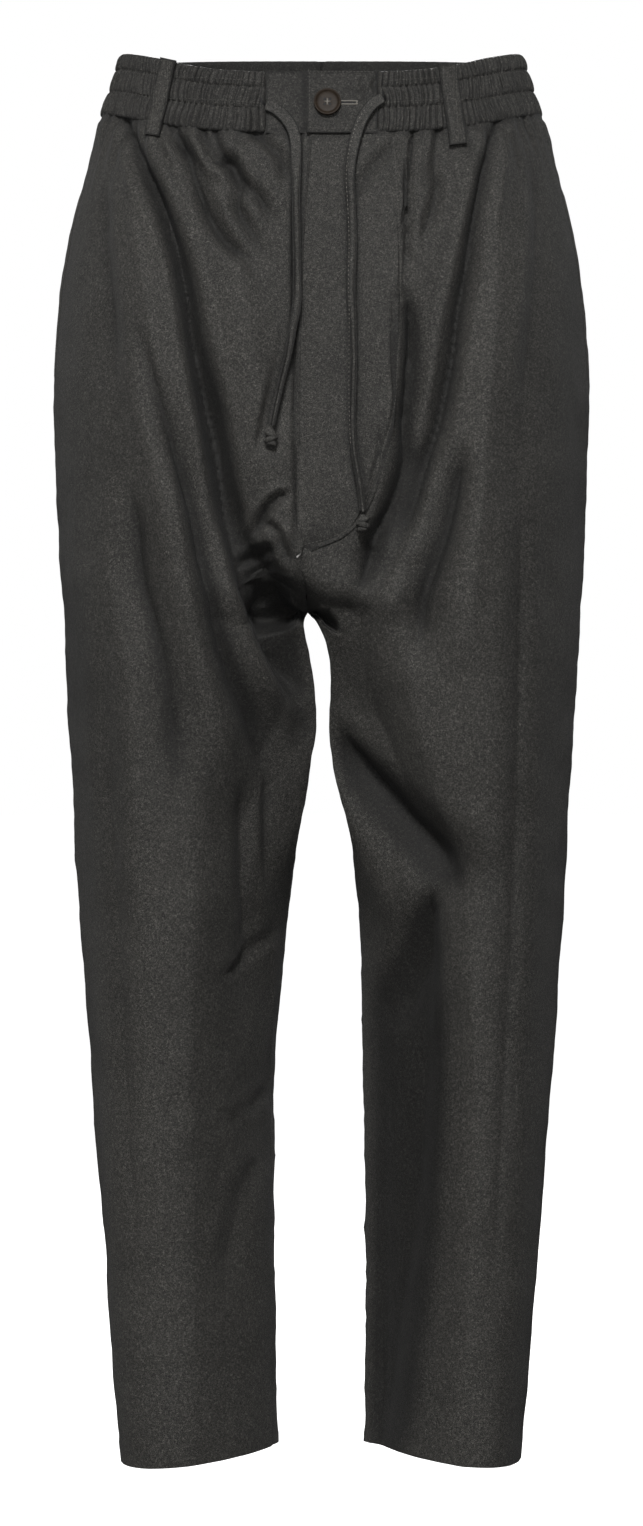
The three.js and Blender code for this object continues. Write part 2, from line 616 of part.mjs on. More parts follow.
// A flat length of band from one distance to another, standing out by a rule
function flatBand(from, to, columns, standOut) {
  const distances = Array.from({ length: columns + 1 }, (unused, i) => mix(from, to, i / columns));
  const rows = FLAT_ROWS.map((down) => distances.map((d) => frontOfBand(down, d)));
  const lean = level(outward(SIDES.left, rows, never, never));
  const outer = rows.map((row, r) => row.map((p, i) => (
    p.clone().addScaledVector(lean[r][i], standOut(distances[i]))
  )));
  const inner = outer.map((row, r) => row.map((p, i) => p.clone().addScaledVector(lean[r][i], -FLAT_WALL)));
  return wallSolid(outer, inner);
}

const OVERLAP_OUT = FLAT_WALL + 0.35;
const overlapOut = (d) => mix(OVERLAP_OUT, 0.6, ease(UNDERLAP_END + 1, FLAT_END.left, d));

// A belt loop stands just off the gathers, and its foot reaches over the seam
function beltLoop({ side, top, low }) {
  const steps = 8;
  const rows = [];
  for (let r = 0; r <= steps; r += 1) {
    const t = r / steps;
    const z = mix(BAND_TOP + LOOP_ABOVE, BAND_BOTTOM - LOOP_BELOW, t);
    const middle = mix(top, low, t);
    rows.push([-0.5, 0, 0.5].map((share) => {
      if (side === 'centre') {
        const half = share < 0 ? SIDES.right : SIDES.left;
        const cut = section(half, z);
        return walk(half, cut, cut.total - Math.abs(share) * LOOP_WIDTH, z);
      }
      const half = SIDES[side];
      return walk(half, section(half, z), middle + half.sign * share * LOOP_WIDTH, z);
    }));
  }
  const facing = side === 'centre' ? { sign: -1 } : SIDES.left;
  const lean = outward(facing, rows, never, never);
  const lifted = (extra) => rows.map((row, r) => row.map((p, c) => {
    const bow = LOOP_BOW * Math.sin((Math.PI * r) / steps);
    return p.clone().addScaledVector(lean[r][c], LOOP_CLEAR + bow + extra);
  }));
  return wallSolid(lifted(LOOP_WALL), lifted(0));
}

// A point between two others, with its outward direction
function between(a, b, t) {
  return {
    point: a.point.clone().lerp(b.point, t),
    lean: a.lean.clone().lerp(b.lean, t).normalize(),
  };
}

function gridPoint(leg, r, c) {
  return { point: leg.rows[r][c], lean: leg.normals[r][c] };
}

// The point of a panel's row at a distance from its column `from`, counting columns by `step`
function alongRow(leg, r, from, step, distance) {
  let left = distance;
  let c = from;
  const length = () => leg.rows[r][c].distanceTo(leg.rows[r][c + step]);
  while (length() < left) {
    left -= length();
    c += step;
  }
  return { ...between(gridPoint(leg, r, c), gridPoint(leg, r, c + step), left / length()), column: c };
}

function laidOn(grid, clear, wall) {
  const lifted = (by) => grid.map((row) => row.map(({ point, lean }) => (
    point.clone().addScaledVector(lean, by)
  )));
  return wallSolid(lifted(clear + wall), lifted(clear));
}

// One row of the placket: its free edge on the right front, then the left front's columns
// as far as they reach, with the rest drawn together before the far edge
function placketRow(r, z) {
  const reach = alongRow(legs.left, r, 0, 1, follow(PLACKET, 'far', z));
  const row = [alongRow(legs.right, r, 0, 1, follow(PLACKET, 'free', z))];
  const whole = Math.min(reach.column, PLACKET_COLUMNS - 2);
  for (let c = 0; c <= whole; c += 1) row.push(gridPoint(legs.left, r, c));
  const rest = PLACKET_COLUMNS - whole;
  const last = row[row.length - 1];
  for (let i = 1; i <= rest; i += 1) row.push(between(last, reach, i / rest));
  return row;
}

function flyPlacket() {
  const grid = [];
  let r = 0;
  while (PANEL_ROWS[r].middle > PLACKET_FOOT) {
    grid.push(placketRow(r, legs.left.rows[r][0].z));
    r += 1;
  }
  const before = PANEL_ROWS[r - 1].middle;
  const foot = (before - PLACKET_FOOT) / (before - PANEL_ROWS[r].middle);
  const upper = placketRow(r - 1, PLACKET_FOOT);
  const lower = placketRow(r, PLACKET_FOOT);
  grid.push(upper.map((point, i) => between(point, lower[i], foot)));
  grid[0] = grid[0].map(({ point, lean }) => ({ point: point.clone().setZ(point.z - 2 * SEAM_GAP), lean }));
  return laidOn(grid, PLACKET_CLEAR, PLACKET_WALL);
}

// A pocket's stitched front edge, a strip along the side seam made from the panel's points
function pocketEdge(leg) {
  const grid = [];
  for (let r = 0; r < PANEL_ROWS.length; r += 1) {
    if (PANEL_ROWS[r].side > POCKET_TOP || PANEL_ROWS[r].side < POCKET_FOOT) continue;
    grid.push([0, 0.5, 1].map((share) => (
      alongRow(leg, r, FRONT_COLUMNS, -1, POCKET_NEAR + share * POCKET_WIDTH)
    )));
  }
  return laidOn(grid, LAY_GAP, POCKET_WALL);
}

// A four-hole button with a raised rim, its back flat
function button() {
  const { radius, thick, rim, dish, hole, pitch } = BUTTON;
  const profile = [
    [0, 0], [radius - 1, 0], [radius - 0.2, 0.7], [radius, thick * 0.55], [radius - 0.5, thick - 0.3],
    [radius - rim * 0.6, thick], [radius - rim, thick - 0.2], [radius - rim - 0.8, thick - dish],
    [0, thick - dish - 0.2],
  ].map(([r, h]) => new THREE.Vector2(r, h));
  let body = toManifold(new THREE.LatheGeometry(profile, 24));
  for (const [sx, sz] of [[-1, -1], [1, -1], [1, 1], [-1, 1]]) {
    const drill = new THREE.CylinderGeometry(hole, hole, thick * 3, 8);
    drill.translate((sx * pitch) / 2, thick / 2, (sz * pitch) / 2);
    body = body.subtract(toManifold(drill));
  }
  return fromManifold(body);
}

function toManifold(geometry) {
  const bare = geometry.clone();
  bare.deleteAttribute('normal');
  bare.deleteAttribute('uv');
  const merged = mergeVertices(bare, 1e-4);
  const triVerts = new Uint32Array(merged.index.array);
  const vertProperties = merged.attributes.position.array;
  return new wasm.Manifold(new wasm.Mesh({ numProp: 3, vertProperties, triVerts }));
}

function fromManifold(body) {
  const mesh = body.getMesh();
  const geometry = new THREE.BufferGeometry();
  geometry.setAttribute('position', new THREE.BufferAttribute(mesh.vertProperties, 3));
  geometry.setIndex(new THREE.BufferAttribute(mesh.triVerts, 1));
  geometry.computeVertexNormals();
  return geometry;
}

// A flat tie along its path: an eight-sided flat section, as wide as the tie
function tie(route) {
  const path = new THREE.CatmullRomCurve3(route.map(([x, y, z]) => v3(x, y, z)));
  const w = TIE_WIDTH / 2;
  const t = TIE_THICK / 2;
  const outline = [[-t, -w + t], [-t * 0.4, -w], [t * 0.4, -w], [t, -w + t], [t, w - t], [t * 0.4, w],
    [-t * 0.4, w], [-t, w - t]];
  const shape = new THREE.Shape(outline.map(([x, y]) => new THREE.Vector2(x, y)));
  return new THREE.ExtrudeGeometry(shape, { steps: 26, bevelEnabled: false, extrudePath: path });
}

function knot() {
  const ball = new THREE.SphereGeometry(1, 12, 7);
  return ball.scale(KNOT.wide, KNOT.deep, KNOT.high);
}

const pants = new THREE.Group();

function addPiece(name, geometry, color, roughness = 0.95) {
  const material = new THREE.MeshStandardMaterial({ color, roughness, metalness: 0 });
  const mesh = new THREE.Mesh(geometry, material);
  mesh.name = name;
  pants.add(mesh);
  return mesh;
}

const CLOTH = 0x363533;
const TRIM = 0x3a3937;

const legs = { left: legSurface(SIDES.left), right: legSurface(SIDES.right) };
for (const name of ['left', 'right']) {
  addPiece(`front_${name}`, panel(legs[name], 0, FRONT_COLUMNS), CLOTH);
  addPiece(`back_${name}`, panel(legs[name], FRONT_COLUMNS, FRONT_COLUMNS + BACK_COLUMNS), CLOTH);
  addPiece(`waistband_${name}`, gatheredHalf(SIDES[name]), CLOTH);
  addPiece(`pocket_edge_${name}`, pocketEdge(legs[name]), TRIM);
}

const underlapFrom = -FLAT_END.right + SEAM_GAP / 2;
addPiece('waistband_underlap', flatBand(underlapFrom, UNDERLAP_END, 8, () => 0), CLOTH);
addPiece('waistband_overlap', flatBand(OVERLAP_EDGE, FLAT_END.left - SEAM_GAP / 2, 8, overlapOut), CLOTH);

for (const loop of LOOPS) addPiece(loop.name, beltLoop(loop), TRIM);

addPiece('fly_placket', flyPlacket(), CLOTH);

const buttonPiece = addPiece('button', button(), 0x33261f, 0.4);
const seatDown = BAND_TOP - BUTTON.z - FRONT_DIP;
const seat = frontOfBand(seatDown, BUTTON.x + 4);
const above = frontOfBand(seatDown - 8, BUTTON.x + 4);
const slope = Math.atan2(above.y - seat.y, above.z - seat.z);
buttonPiece.rotation.set(Math.PI - slope, 0, 0);
buttonPiece.position.set(BUTTON.x, seat.y - OVERLAP_OUT - SEAM_GAP, seat.z);

for (const [name, route] of [['right', TIE_RIGHT], ['left', TIE_LEFT]]) {
  addPiece(`drawstring_${name}`, tie(route), TRIM);
  const [x, y, z] = route[route.length - 1];
  const ball = addPiece(`knot_${name}`, knot(), TRIM);
  ball.position.set(x, y, z - KNOT.high - SEAM_GAP);
}

export default pants;
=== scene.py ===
"""Harem pants in charcoal wool: the camera and ties, then the cut pieces, their seams and small parts."""

import math
import random

import bmesh
import bpy
import numpy as np
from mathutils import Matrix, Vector
from mathutils.bvhtree import BVHTree
from mathutils.kdtree import KDTree


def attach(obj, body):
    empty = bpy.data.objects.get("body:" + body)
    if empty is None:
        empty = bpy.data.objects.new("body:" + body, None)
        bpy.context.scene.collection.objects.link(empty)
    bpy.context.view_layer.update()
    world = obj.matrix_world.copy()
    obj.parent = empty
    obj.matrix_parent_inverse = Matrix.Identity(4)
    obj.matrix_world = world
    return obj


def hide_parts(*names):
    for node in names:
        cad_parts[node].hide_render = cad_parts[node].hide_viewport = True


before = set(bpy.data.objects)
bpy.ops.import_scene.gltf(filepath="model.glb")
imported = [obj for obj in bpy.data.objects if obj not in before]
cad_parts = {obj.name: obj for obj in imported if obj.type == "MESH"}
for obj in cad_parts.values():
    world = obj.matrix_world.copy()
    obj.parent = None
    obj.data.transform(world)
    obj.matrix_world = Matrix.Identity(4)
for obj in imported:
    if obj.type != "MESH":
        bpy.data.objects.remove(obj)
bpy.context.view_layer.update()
scene = bpy.context.scene

MM = 0.001

# The view: level with the middle of the garment and square to the fly.
CAMERA_AWAY = 4.0
CAMERA_HEIGHT = -0.470
VIEW_HALF_HEIGHT = 0.5341
FLOOR_Z = -1.25

# The sewn pieces, in millimetres as they are cut.
CLOTH_WALL = 1.6
PLACKET_WALL = 1.3
FLAT_BAND_WALL = 2.0
POCKET_WALL = 1.0
LOOP_WALL = 1.8
BAND_ROWS = (11, 26)
BAND_CHANNELS = ((0, 11), (11, 26), (26, 43))
RIB_WIDTHS = (2.7, 5.6)
RIB_HEIGHT = 2.3
GATHERED_FROM = 36
GATHERED_ALL = 44
LOOP_NODES = ("belt_loop_front_right", "belt_loop_front_left", "belt_loop_back_right", "belt_loop_back_left",
              "belt_loop_back_centre")
LEG_MIDDLE_X = 95
BAND_TOP = 24.5
BAND_BOTTOM = -18.5
BAND_HALF_WIDTH = 183
BAND_HALF_DEPTH = 112
BAND_DEPTH = 110
FRONT_DIP = 22
BACK_RISE = 8.5
HEM_TOP = -938
TIE_WIDTH = 9
TIE_THICK = 1.7
TIE_SIDES = 20
TIE_PRESS = 1.4
KNOT_DROP = 7.3
BUTTON_X = 4
BUTTON_Z = -20.4
BUTTON_RADIUS = 9.3
BUTTON_THICK = 3.0
HOLE_RADIUS = 0.95
HOLE_ASIDE = 1.8
HOLE_ABOVE = 1.75

# Thread, in millimetres: a stitch's width, and where a row is first looked for in front of the cloth.
STITCH = 0.42
LINE_STEP = 0.8
IN_FRONT = -160

# The grid on which the front's depth is read over the crotch, and how far its steps are eased.
GRID_STEP = 4.0
GRID_ACROSS = (-100.0, 101.0)
GRID_UP = (-610.0, -279.0)
CROTCH_EASE = 28.0
NOTHING_THERE = 999.0

# The two hanging ends of the drawstring, from the slot in the waistband to the knot.
TIE_ROUTES = {
    "right": [
        (-38, -111.2, -22), (-31, -112, -25), (-23, -113.2, -33), (-18, -116.5, -45), (-17, -121.6, -70),
        (-17, -124.8, -95), (-17, -126.6, -116), (-17, -128.4, -141), (-16.5, -129.2, -160),
        (-21, -129.6, -189), (-27, -130, -212), (-32, -131.4, -232), (-34, -132.2, -242),
    ],
    "left": [
        (42, -110.8, -17), (37, -111.8, -20), (32, -113.2, -25), (26, -115.8, -36), (21, -119.4, -54),
        (19, -122.8, -72), (20, -124.8, -90), (21, -127.8, -116), (20.5, -130.2, -141), (21, -131.8, -165),
        (21, -132.5, -199), (21, -132.6, -228), (22, -132.6, -255), (26, -132.2, -282), (28, -131, -300),
    ],
}

# How far round each tie's edges curl forward, and how far it turns on itself, in radians, along its length.
TIE_CURLS = {
    "right": [(0, 0.4), (0.15, 0.6), (0.3, 3.4), (0.5, 3.7), (0.66, 2.8), (0.8, 4.6), (1, 5.2)],
    "left": [(0, 0.5), (0.12, 0.8), (0.25, 3.2), (0.42, 2.8), (0.6, 4.2), (0.8, 4.4), (1, 5.0)],
}
TIE_ROLLS = {
    "right": [(0, 0.2), (0.3, -0.2), (0.55, 0.3), (0.7, -0.5), (1, 0.3)],
    "left": [(0, -0.25), (0.25, 0.2), (0.5, -0.3), (0.64, 0.45), (0.8, -0.2), (1, 0.1)],
}

# Creases seen from the front: depth, reach to the picture's left and right, the crest beside it, and the
# line in x and z. A depth below 0 is a broad ridge.
FRONT_CREASES = [
    (16, 4.6, 6.0, 2.6, [(-146, -8), (-136, -30), (-122, -66), (-107, -101), (-95, -140), (-86, -187),
                         (-75, -242), (-68, -286), (-61, -316), (-52, -348), (-38, -385), (-20, -423),
                         (-6, -440)]),
    (6.0, 7.0, 14.0, 1.4, [(-84, -187), (-73, -242), (-64, -286), (-55, -316), (-44, -348), (-30, -385),
                           (-16, -420)]),
    (11.0, 7.0, 7.5, 2.6, [(-124, -178), (-112, -217), (-100, -256), (-87, -295), (-78, -337), (-69, -378),
                           (-59, -411), (-47, -441), (-40, -471), (-36, -495)]),
    (6.0, 9.0, 10.0, 1.8, [(-133, -270), (-127, -311), (-124, -342), (-115, -376), (-107, -406),
                           (-103, -436), (-100, -471), (-98, -515)]),
    (4.4, 4.6, 5.0, 1.2, [(-53, -478), (-55, -518), (-55, -554), (-53, -592), (-58, -620)]),
    (4.4, 3.6, 4.6, 1.0, [(-37, -478), (-38, -520), (-39, -556)]),
    (3.2, 2.0, 3.6, 1.4, [(-76, -618), (-60, -611), (-43, -596), (-28, -586)]),
    (2.8, 2.0, 3.6, 1.2, [(-78, -722), (-70, -718), (-52, -711), (-40, -703), (-32, -699)]),
    (3.0, 5.0, 6.0, 0.8, [(-38, -740), (-54, -760), (-62, -784), (-71, -824)]),
    (8.0, 3.6, 4.6, 1.8, [(-104, -24), (-96, -48), (-89, -66), (-77, -98), (-65, -116), (-50, -128),
                          (-38, -144)]),
    (6.4, 3.2, 4.0, 1.6, [(-80, -12), (-73, -40), (-66, -60), (-57, -78), (-56, -96), (-44, -116),
                          (-30, -137)]),
    (7.0, 3.2, 4.0, 1.6, [(-88, -14), (-82, -38), (-72, -60), (-62, -62), (-54, -74), (-38, -93),
                          (-31, -113)]),
    (5.4, 3.0, 3.6, 1.4, [(-62, -18), (-54, -38), (-40, -46), (-27, -60), (-22, -82)]),
    (4.0, 2.8, 3.4, 1.2, [(-112, -16), (-104, -40), (-84, -63), (-76, -82)]),
    (11.0, 4.4, 5.0, 2.4, [(128, -6), (122, -26), (116, -50), (110, -78), (104, -106), (100, -128),
                           (92, -167), (85, -207), (77, -242), (70, -268), (63, -296), (55, -316),
                           (45, -338), (34, -358)]),
    (15, 5.0, 6.4, 2.0, [(57, -142), (62, -178), (61, -210), (58, -240), (57, -268), (49, -296), (38, -316),
                         (30, -341), (20, -366)]),
    (10.0, 8.0, 9.0, 2.2, [(97, -250), (90, -280), (82, -316), (70, -353), (66, -385), (65, -414)]),
    (4.6, 2.6, 3.6, 1.4, [(84, -14), (80, -34), (77, -63), (78, -83), (66, -124)]),
    (18, 13.0, 11.0, 3.0, [(-14, -432), (-4, -447), (18, -471), (40, -494), (64, -519), (79, -535),
                           (97, -560)]),
    (17, 6.0, 13.0, 2.0, [(-52, -318), (-42, -341), (-28, -377), (-16, -407), (-5, -430)]),
    (5.0, 3.0, 3.4, 1.0, [(20, -92), (27, -77), (39, -61), (54, -47)]),
    (8.0, 9.0, 8.0, 1.4, [(74, -556), (67, -599), (56, -628), (42, -657)]),
    (7.0, 2.8, 3.6, 2.0, [(-19, -287), (-30, -290), (-39, -301), (-47, -320)]),
    (6.0, 2.6, 3.2, 1.8, [(-41, -306), (-32, -312), (-27, -322), (-20, -338)]),
    (5.0, 2.6, 3.2, 1.6, [(-55, -336), (-46, -331), (-38, -326), (-31, -328)]),
    (5.0, 2.0, 2.8, 1.0, [(64, -14), (62, -42), (59, -84), (58, -116), (56, -152)]),
    (2.0, 2.0, 2.6, 0.9, [(38, -152), (50, -155), (60, -149)]),
    (3.6, 4.0, 9.0, 1.2, [(144, -40), (148, -80), (148, -120), (142, -180), (136, -240)]),
    (4.0, 9.0, 4.0, 1.2, [(-150, -60), (-149, -110), (-144, -160), (-138, -220)]),
    (12, 46, 22, 1.6, [(70, -560), (66, -650), (63, -720), (56, -790), (46, -860), (38, -925), (34, -1010)]),
    (-9.0, 42, 36, 0, [(-88, -480), (-90, -560), (-94, -700), (-92, -850), (-94, -1040)]),
    (-6.0, 18, 22, 0, [(52, -345), (60, -400), (70, -450), (84, -490), (96, -540)]),
    (-5.0, 12, 14, 0, [(100, -560), (106, -660), (109, -740), (103, -850), (98, -960), (96, -1040)]),
    (-4.0, 8, 8, 0, [(-132, -60), (-124, -120), (-114, -180), (-104, -250), (-94, -320), (-84, -390)]),
    (-5.0, 20, 13, 0, [(-58, -120), (-48, -180), (-40, -230), (-32, -290)]),
    (-6.0, 15, 15, 0, [(124, -40), (120, -110), (114, -200), (106, -290), (102, -380), (106, -460),
                       (114, -560)]),
    (3.0, 8.0, 6.0, 0.8, [(134, -250), (136, -350), (134, -470), (130, -600), (122, -760), (114, -900)]),
    (2.6, 6.0, 9.0, 0.8, [(-150, -380), (-146, -480), (-138, -620), (-128, -780), (-120, -900)]),
]

# Creases seen from behind: the slack of the low seat hangs in long folds from the hips to the crotch.
BACK_CREASES = [
    (5.5, 5, 6, 1.4, [(-128, -60), (-112, -110), (-98, -165), (-84, -225), (-68, -285), (-46, -335)]),
    (5.0, 5, 6, 1.3, [(122, -52), (109, -108), (92, -170), (80, -232), (62, -290), (40, -338)]),
    (3.2, 5, 6, 0.9, [(-92, -58), (-80, -112), (-66, -168), (-50, -220), (-30, -262)]),
    (2.8, 5, 6, 0.8, [(84, -50), (74, -104), (63, -158), (46, -214), (29, -270)]),
    (4.4, 6, 5, 1.2, [(-132, -250), (-118, -300), (-100, -350), (-76, -396), (-50, -430)]),
    (4.8, 5, 6, 1.2, [(136, -262), (120, -312), (98, -364), (72, -404), (48, -432)]),
    (2.6, 4, 6, 0.8, [(-118, -520), (-92, -536), (-66, -540), (-44, -530)]),
    (3.2, 5, 4, 0.9, [(124, -508), (98, -530), (70, -538), (44, -524)]),
    (2.0, 4, 5, 0.6, [(-112, -566), (-88, -580), (-62, -582)]),
    (1.8, 6, 7, 0.5, [(104, -640), (98, -700), (94, -770)]),
    (1.8, 7, 6, 0.5, [(-100, -650), (-95, -710), (-92, -790)]),
]


def of_screen(red, green, blue):
    """A colour as a screen shows it, 0 to 255, in the shader's linear numbers."""
    return tuple((value / 255 / 12.92 if value < 10.3 else ((value / 255 + 0.055) / 1.055) ** 2.4)
                 for value in (red, green, blue)) + (1.0,)


# Shaders.


def add_node(tree, kind, inputs=None, **settings):
    """A node with its settings, its inputs given as numbers or as the sockets that feed them."""
    node = tree.nodes.new(kind)
    for name, value in settings.items():
        setattr(node, name, value)
    for socket, value in (inputs or {}).items():
        if isinstance(value, bpy.types.NodeSocket):
            tree.links.new(value, node.inputs[socket])
        else:
            node.inputs[socket].default_value = value
    return node


def math_node(tree, operation, first, second=0.0):
    """One sum on two values."""
    return add_node(tree, "ShaderNodeMath", {0: first, 1: second}, operation=operation).outputs[0]


def melange_group():
    """Curly light fibres and a fine grain in dark wool: colour and relief."""
    tree = bpy.data.node_groups.new("melange wool", "ShaderNodeTree")
    for name, kind, value in (
        ("Place", "NodeSocketVector", None),
        ("Dark", "NodeSocketColor", (0.02, 0.02, 0.02, 1)),
        ("Light", "NodeSocketColor", (0.1, 0.1, 0.1, 1)),
        ("Fibres per metre", "NodeSocketFloat", 430),
    ):
        socket = tree.interface.new_socket(name, in_out="INPUT", socket_type=kind)
        if value is not None:
            socket.default_value = value
    tree.interface.new_socket("Colour", in_out="OUTPUT", socket_type="NodeSocketColor")
    tree.interface.new_socket("Relief", in_out="OUTPUT", socket_type="NodeSocketFloat")
    given = add_node(tree, "NodeGroupInput")
    place = given.outputs["Place"]
    rate = given.outputs["Fibres per metre"]

    def noise(scale, detail, distortion=0.0):
        """The strength of a soft noise at a scale."""
        return add_node(
            tree, "ShaderNodeTexNoise",
            {"Vector": place, "Scale": scale, "Detail": detail, "Roughness": 0.55, "Distortion": distortion},
        ).outputs[0]

    def strands(scale, thin, distortion):
        """Curly lines where a noise passes its middle."""
        off_middle = math_node(tree, "SUBTRACT", noise(scale, 2.0, distortion), 0.5)
        off_middle = math_node(tree, "ABSOLUTE", off_middle)
        return add_node(
            tree, "ShaderNodeMapRange",
            {"Value": off_middle, "From Min": 0.0, "From Max": thin, "To Min": 1.0, "To Max": 0.0},
            interpolation_type="SMOOTHSTEP",
        ).outputs[0]

    long_strands = strands(rate, 0.08, 0.7)
    short_strands = strands(math_node(tree, "MULTIPLY", rate, 1.7), 0.10, 0.4)
    patches = add_node(
        tree, "ShaderNodeMapRange",
        {"Value": noise(math_node(tree, "MULTIPLY", rate, 0.62), 1.0), "From Min": 0.42, "From Max": 0.6},
    ).outputs[0]
    fibres = math_node(tree, "MAXIMUM", math_node(tree, "MULTIPLY", long_strands, patches),
                       math_node(tree, "MULTIPLY", short_strands, 0.55))
    grain = noise(math_node(tree, "MULTIPLY", rate, 3.4), 1.0)
    cloud = noise(22.0, 3.0)
    blended = add_node(
        tree, "ShaderNodeMix",
        {0: fibres, 6: given.outputs["Dark"], 7: given.outputs["Light"]}, data_type="RGBA",
    ).outputs[2]
    uneven = math_node(
        tree, "ADD",
        math_node(tree, "MULTIPLY", math_node(tree, "SUBTRACT", grain, 0.5), 7.0),
        math_node(tree, "MULTIPLY", math_node(tree, "SUBTRACT", cloud, 0.5), 0.45),
    )
    brightness = math_node(tree, "ADD", uneven, 1.0)
    toned = add_node(
        tree, "ShaderNodeVectorMath", {0: blended, "Scale": brightness}, operation="SCALE",
    ).outputs[0]
    relief = math_node(tree, "ADD", math_node(tree, "MULTIPLY", fibres, 0.6),
                       math_node(tree, "MULTIPLY", grain, 0.7))
    result = add_node(tree, "NodeGroupOutput")
    tree.links.new(toned, result.inputs["Colour"])
    tree.links.new(relief, result.inputs["Relief"])
    return tree


def empty_material(name):
    """A material with only its shader and output."""
    material = bpy.data.materials.new(name)
    material.use_nodes = True
    tree = material.node_tree
    shader = next(node for node in tree.nodes if node.type == "BSDF_PRINCIPLED")
    return material, tree, shader


def wool(name, dark, light, fibres, bump):
    """Charcoal melange wool, matt and a little hairy."""
    material, tree, shader = empty_material(name)
    place = add_node(tree, "ShaderNodeTexCoord").outputs["Object"]
    cloth = tree.nodes.new("ShaderNodeGroup")
    cloth.node_tree = MELANGE
    tree.links.new(place, cloth.inputs["Place"])
    cloth.inputs["Dark"].default_value = dark
    cloth.inputs["Light"].default_value = light
    cloth.inputs["Fibres per metre"].default_value = fibres
    raised = add_node(
        tree, "ShaderNodeBump",
        {"Strength": bump, "Distance": 0.0006, "Height": cloth.outputs["Relief"]},
    )
    # Painted shade: the cloth's inner side is darkened by 55 %, and creases, seams, edges and the cloth
    # beside other pieces by up to 68 %; points marked below 0 are painted a little lighter, as painted light
    # on ridges.
    inner = add_node(tree, "ShaderNodeAttribute", attribute_name="inner_side").outputs["Fac"]
    painted_shade = add_node(tree, "ShaderNodeAttribute", attribute_name="painted_shade").outputs["Fac"]
    kept = math_node(
        tree, "MULTIPLY",
        math_node(tree, "SUBTRACT", 1.0, math_node(tree, "MULTIPLY", inner, 0.55)),
        math_node(tree, "SUBTRACT", 1.0, math_node(tree, "MULTIPLY", painted_shade, 0.68)),
    )
    shaded = add_node(
        tree, "ShaderNodeVectorMath", {0: cloth.outputs["Colour"], "Scale": kept}, operation="SCALE",
    )
    tree.links.new(shaded.outputs[0], shader.inputs["Base Color"])
    tree.links.new(raised.outputs["Normal"], shader.inputs["Normal"])
    shader.inputs["Roughness"].default_value = 0.62
    shader.inputs["Specular IOR Level"].default_value = 0.45
    shader.inputs["Sheen Weight"].default_value = 0.05
    shader.inputs["Sheen Roughness"].default_value = 0.45
    return material


def thread(name, colour):
    """Spun sewing thread with a faint sheen."""
    material, tree, shader = empty_material(name)
    place = add_node(tree, "ShaderNodeTexCoord").outputs["Object"]
    twist = add_node(tree, "ShaderNodeTexNoise", {"Vector": place, "Scale": 2600.0, "Detail": 2.0})
    darker = tuple(0.6 * value for value in colour[:3]) + (1.0,)
    tone = add_node(
        tree, "ShaderNodeMix", {0: twist.outputs[0], 6: darker, 7: colour}, data_type="RGBA",
    )
    raised = add_node(
        tree, "ShaderNodeBump", {"Strength": 0.4, "Distance": 0.0002, "Height": twist.outputs[0]},
    )
    tree.links.new(tone.outputs[2], shader.inputs["Base Color"])
    tree.links.new(raised.outputs["Normal"], shader.inputs["Normal"])
    shader.inputs["Roughness"].default_value = 0.6
    return material


def horn(name):
    """Dark brown button resin with cloudy streaks."""
    material, tree, shader = empty_material(name)
    place = add_node(tree, "ShaderNodeTexCoord").outputs["Object"]
    stretch = add_node(tree, "ShaderNodeMapping", {"Vector": place, "Scale": (1.0, 1.0, 2.6)})
    streaks = add_node(
        tree, "ShaderNodeTexNoise",
        {"Vector": stretch.outputs[0], "Scale": 160.0, "Detail": 4.0, "Roughness": 0.6, "Distortion": 1.2},
    )
    tone = add_node(
        tree, "ShaderNodeMix",
        {0: streaks.outputs[0], 6: of_screen(30, 25, 21), 7: of_screen(68, 58, 49)}, data_type="RGBA",
    )
    scratches = add_node(tree, "ShaderNodeTexNoise", {"Vector": place, "Scale": 900.0, "Detail": 3.0})
    dulled = add_node(
        tree, "ShaderNodeMapRange", {"Value": scratches.outputs[0], "To Min": 0.36, "To Max": 0.5},
    )
    tree.links.new(tone.outputs[2], shader.inputs["Base Color"])
    tree.links.new(dulled.outputs[0], shader.inputs["Roughness"])
    shader.inputs["Specular IOR Level"].default_value = 0.1
    return material


MELANGE = melange_group()
CHARCOAL = wool("charcoal wool", of_screen(27, 26, 25), of_screen(98, 96, 91), 850.0, 0.5)
CHARCOAL_TAPE = wool("charcoal wool tape", of_screen(31, 30, 29), of_screen(104, 102, 97), 900.0, 0.45)
DARK_THREAD = thread("charcoal thread", of_screen(104, 102, 97))
PALE_THREAD = thread("pale grey thread", of_screen(168, 163, 154))
WHITE_THREAD = thread("white thread", of_screen(228, 226, 222))
BROWN_HORN = horn("brown horn")
# Painted shade: a near-black material for dark strokes put inside slits, slots and button holes, where there
# is only shade.
SHADE = thread("painted shade inside slits and holes", of_screen(16, 15, 15))


# Camera.


def add_camera():
    """Looks straight at the fly from the height of the middle of the garment."""
    lens = bpy.data.cameras.new("camera")
    lens.angle = 2 * math.atan(VIEW_HALF_HEIGHT / CAMERA_AWAY)
    camera = bpy.data.objects.new("camera", lens)
    camera.location = (0, -CAMERA_AWAY, CAMERA_HEIGHT)
    camera.rotation_euler = (math.radians(90), 0, 0)
    scene.collection.objects.link(camera)
    scene.camera = camera


# Making and shaping pieces.


def only(piece):
    """Makes a piece the only one selected."""
    for other in bpy.context.selected_objects:
        other.select_set(False)
    piece.select_set(True)
    bpy.context.view_layer.objects.active = piece


def new_piece(name, points, faces):
    """A piece from points in metres and faces."""
    mesh = bpy.data.meshes.new(name)
    mesh.from_pydata([tuple(point) for point in points], [], faces)
    mesh.update()
    piece = bpy.data.objects.new(name, mesh)
    scene.collection.objects.link(piece)
    return piece


def finish_piece(piece, material, angle=60):
    """Gives a piece its finish, smooth faces and its place on the garment."""
    piece.data.materials.clear()
    piece.data.materials.append(material)
    only(piece)
    bpy.ops.object.shade_smooth_by_angle(angle=math.radians(angle))
    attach(piece, "root")


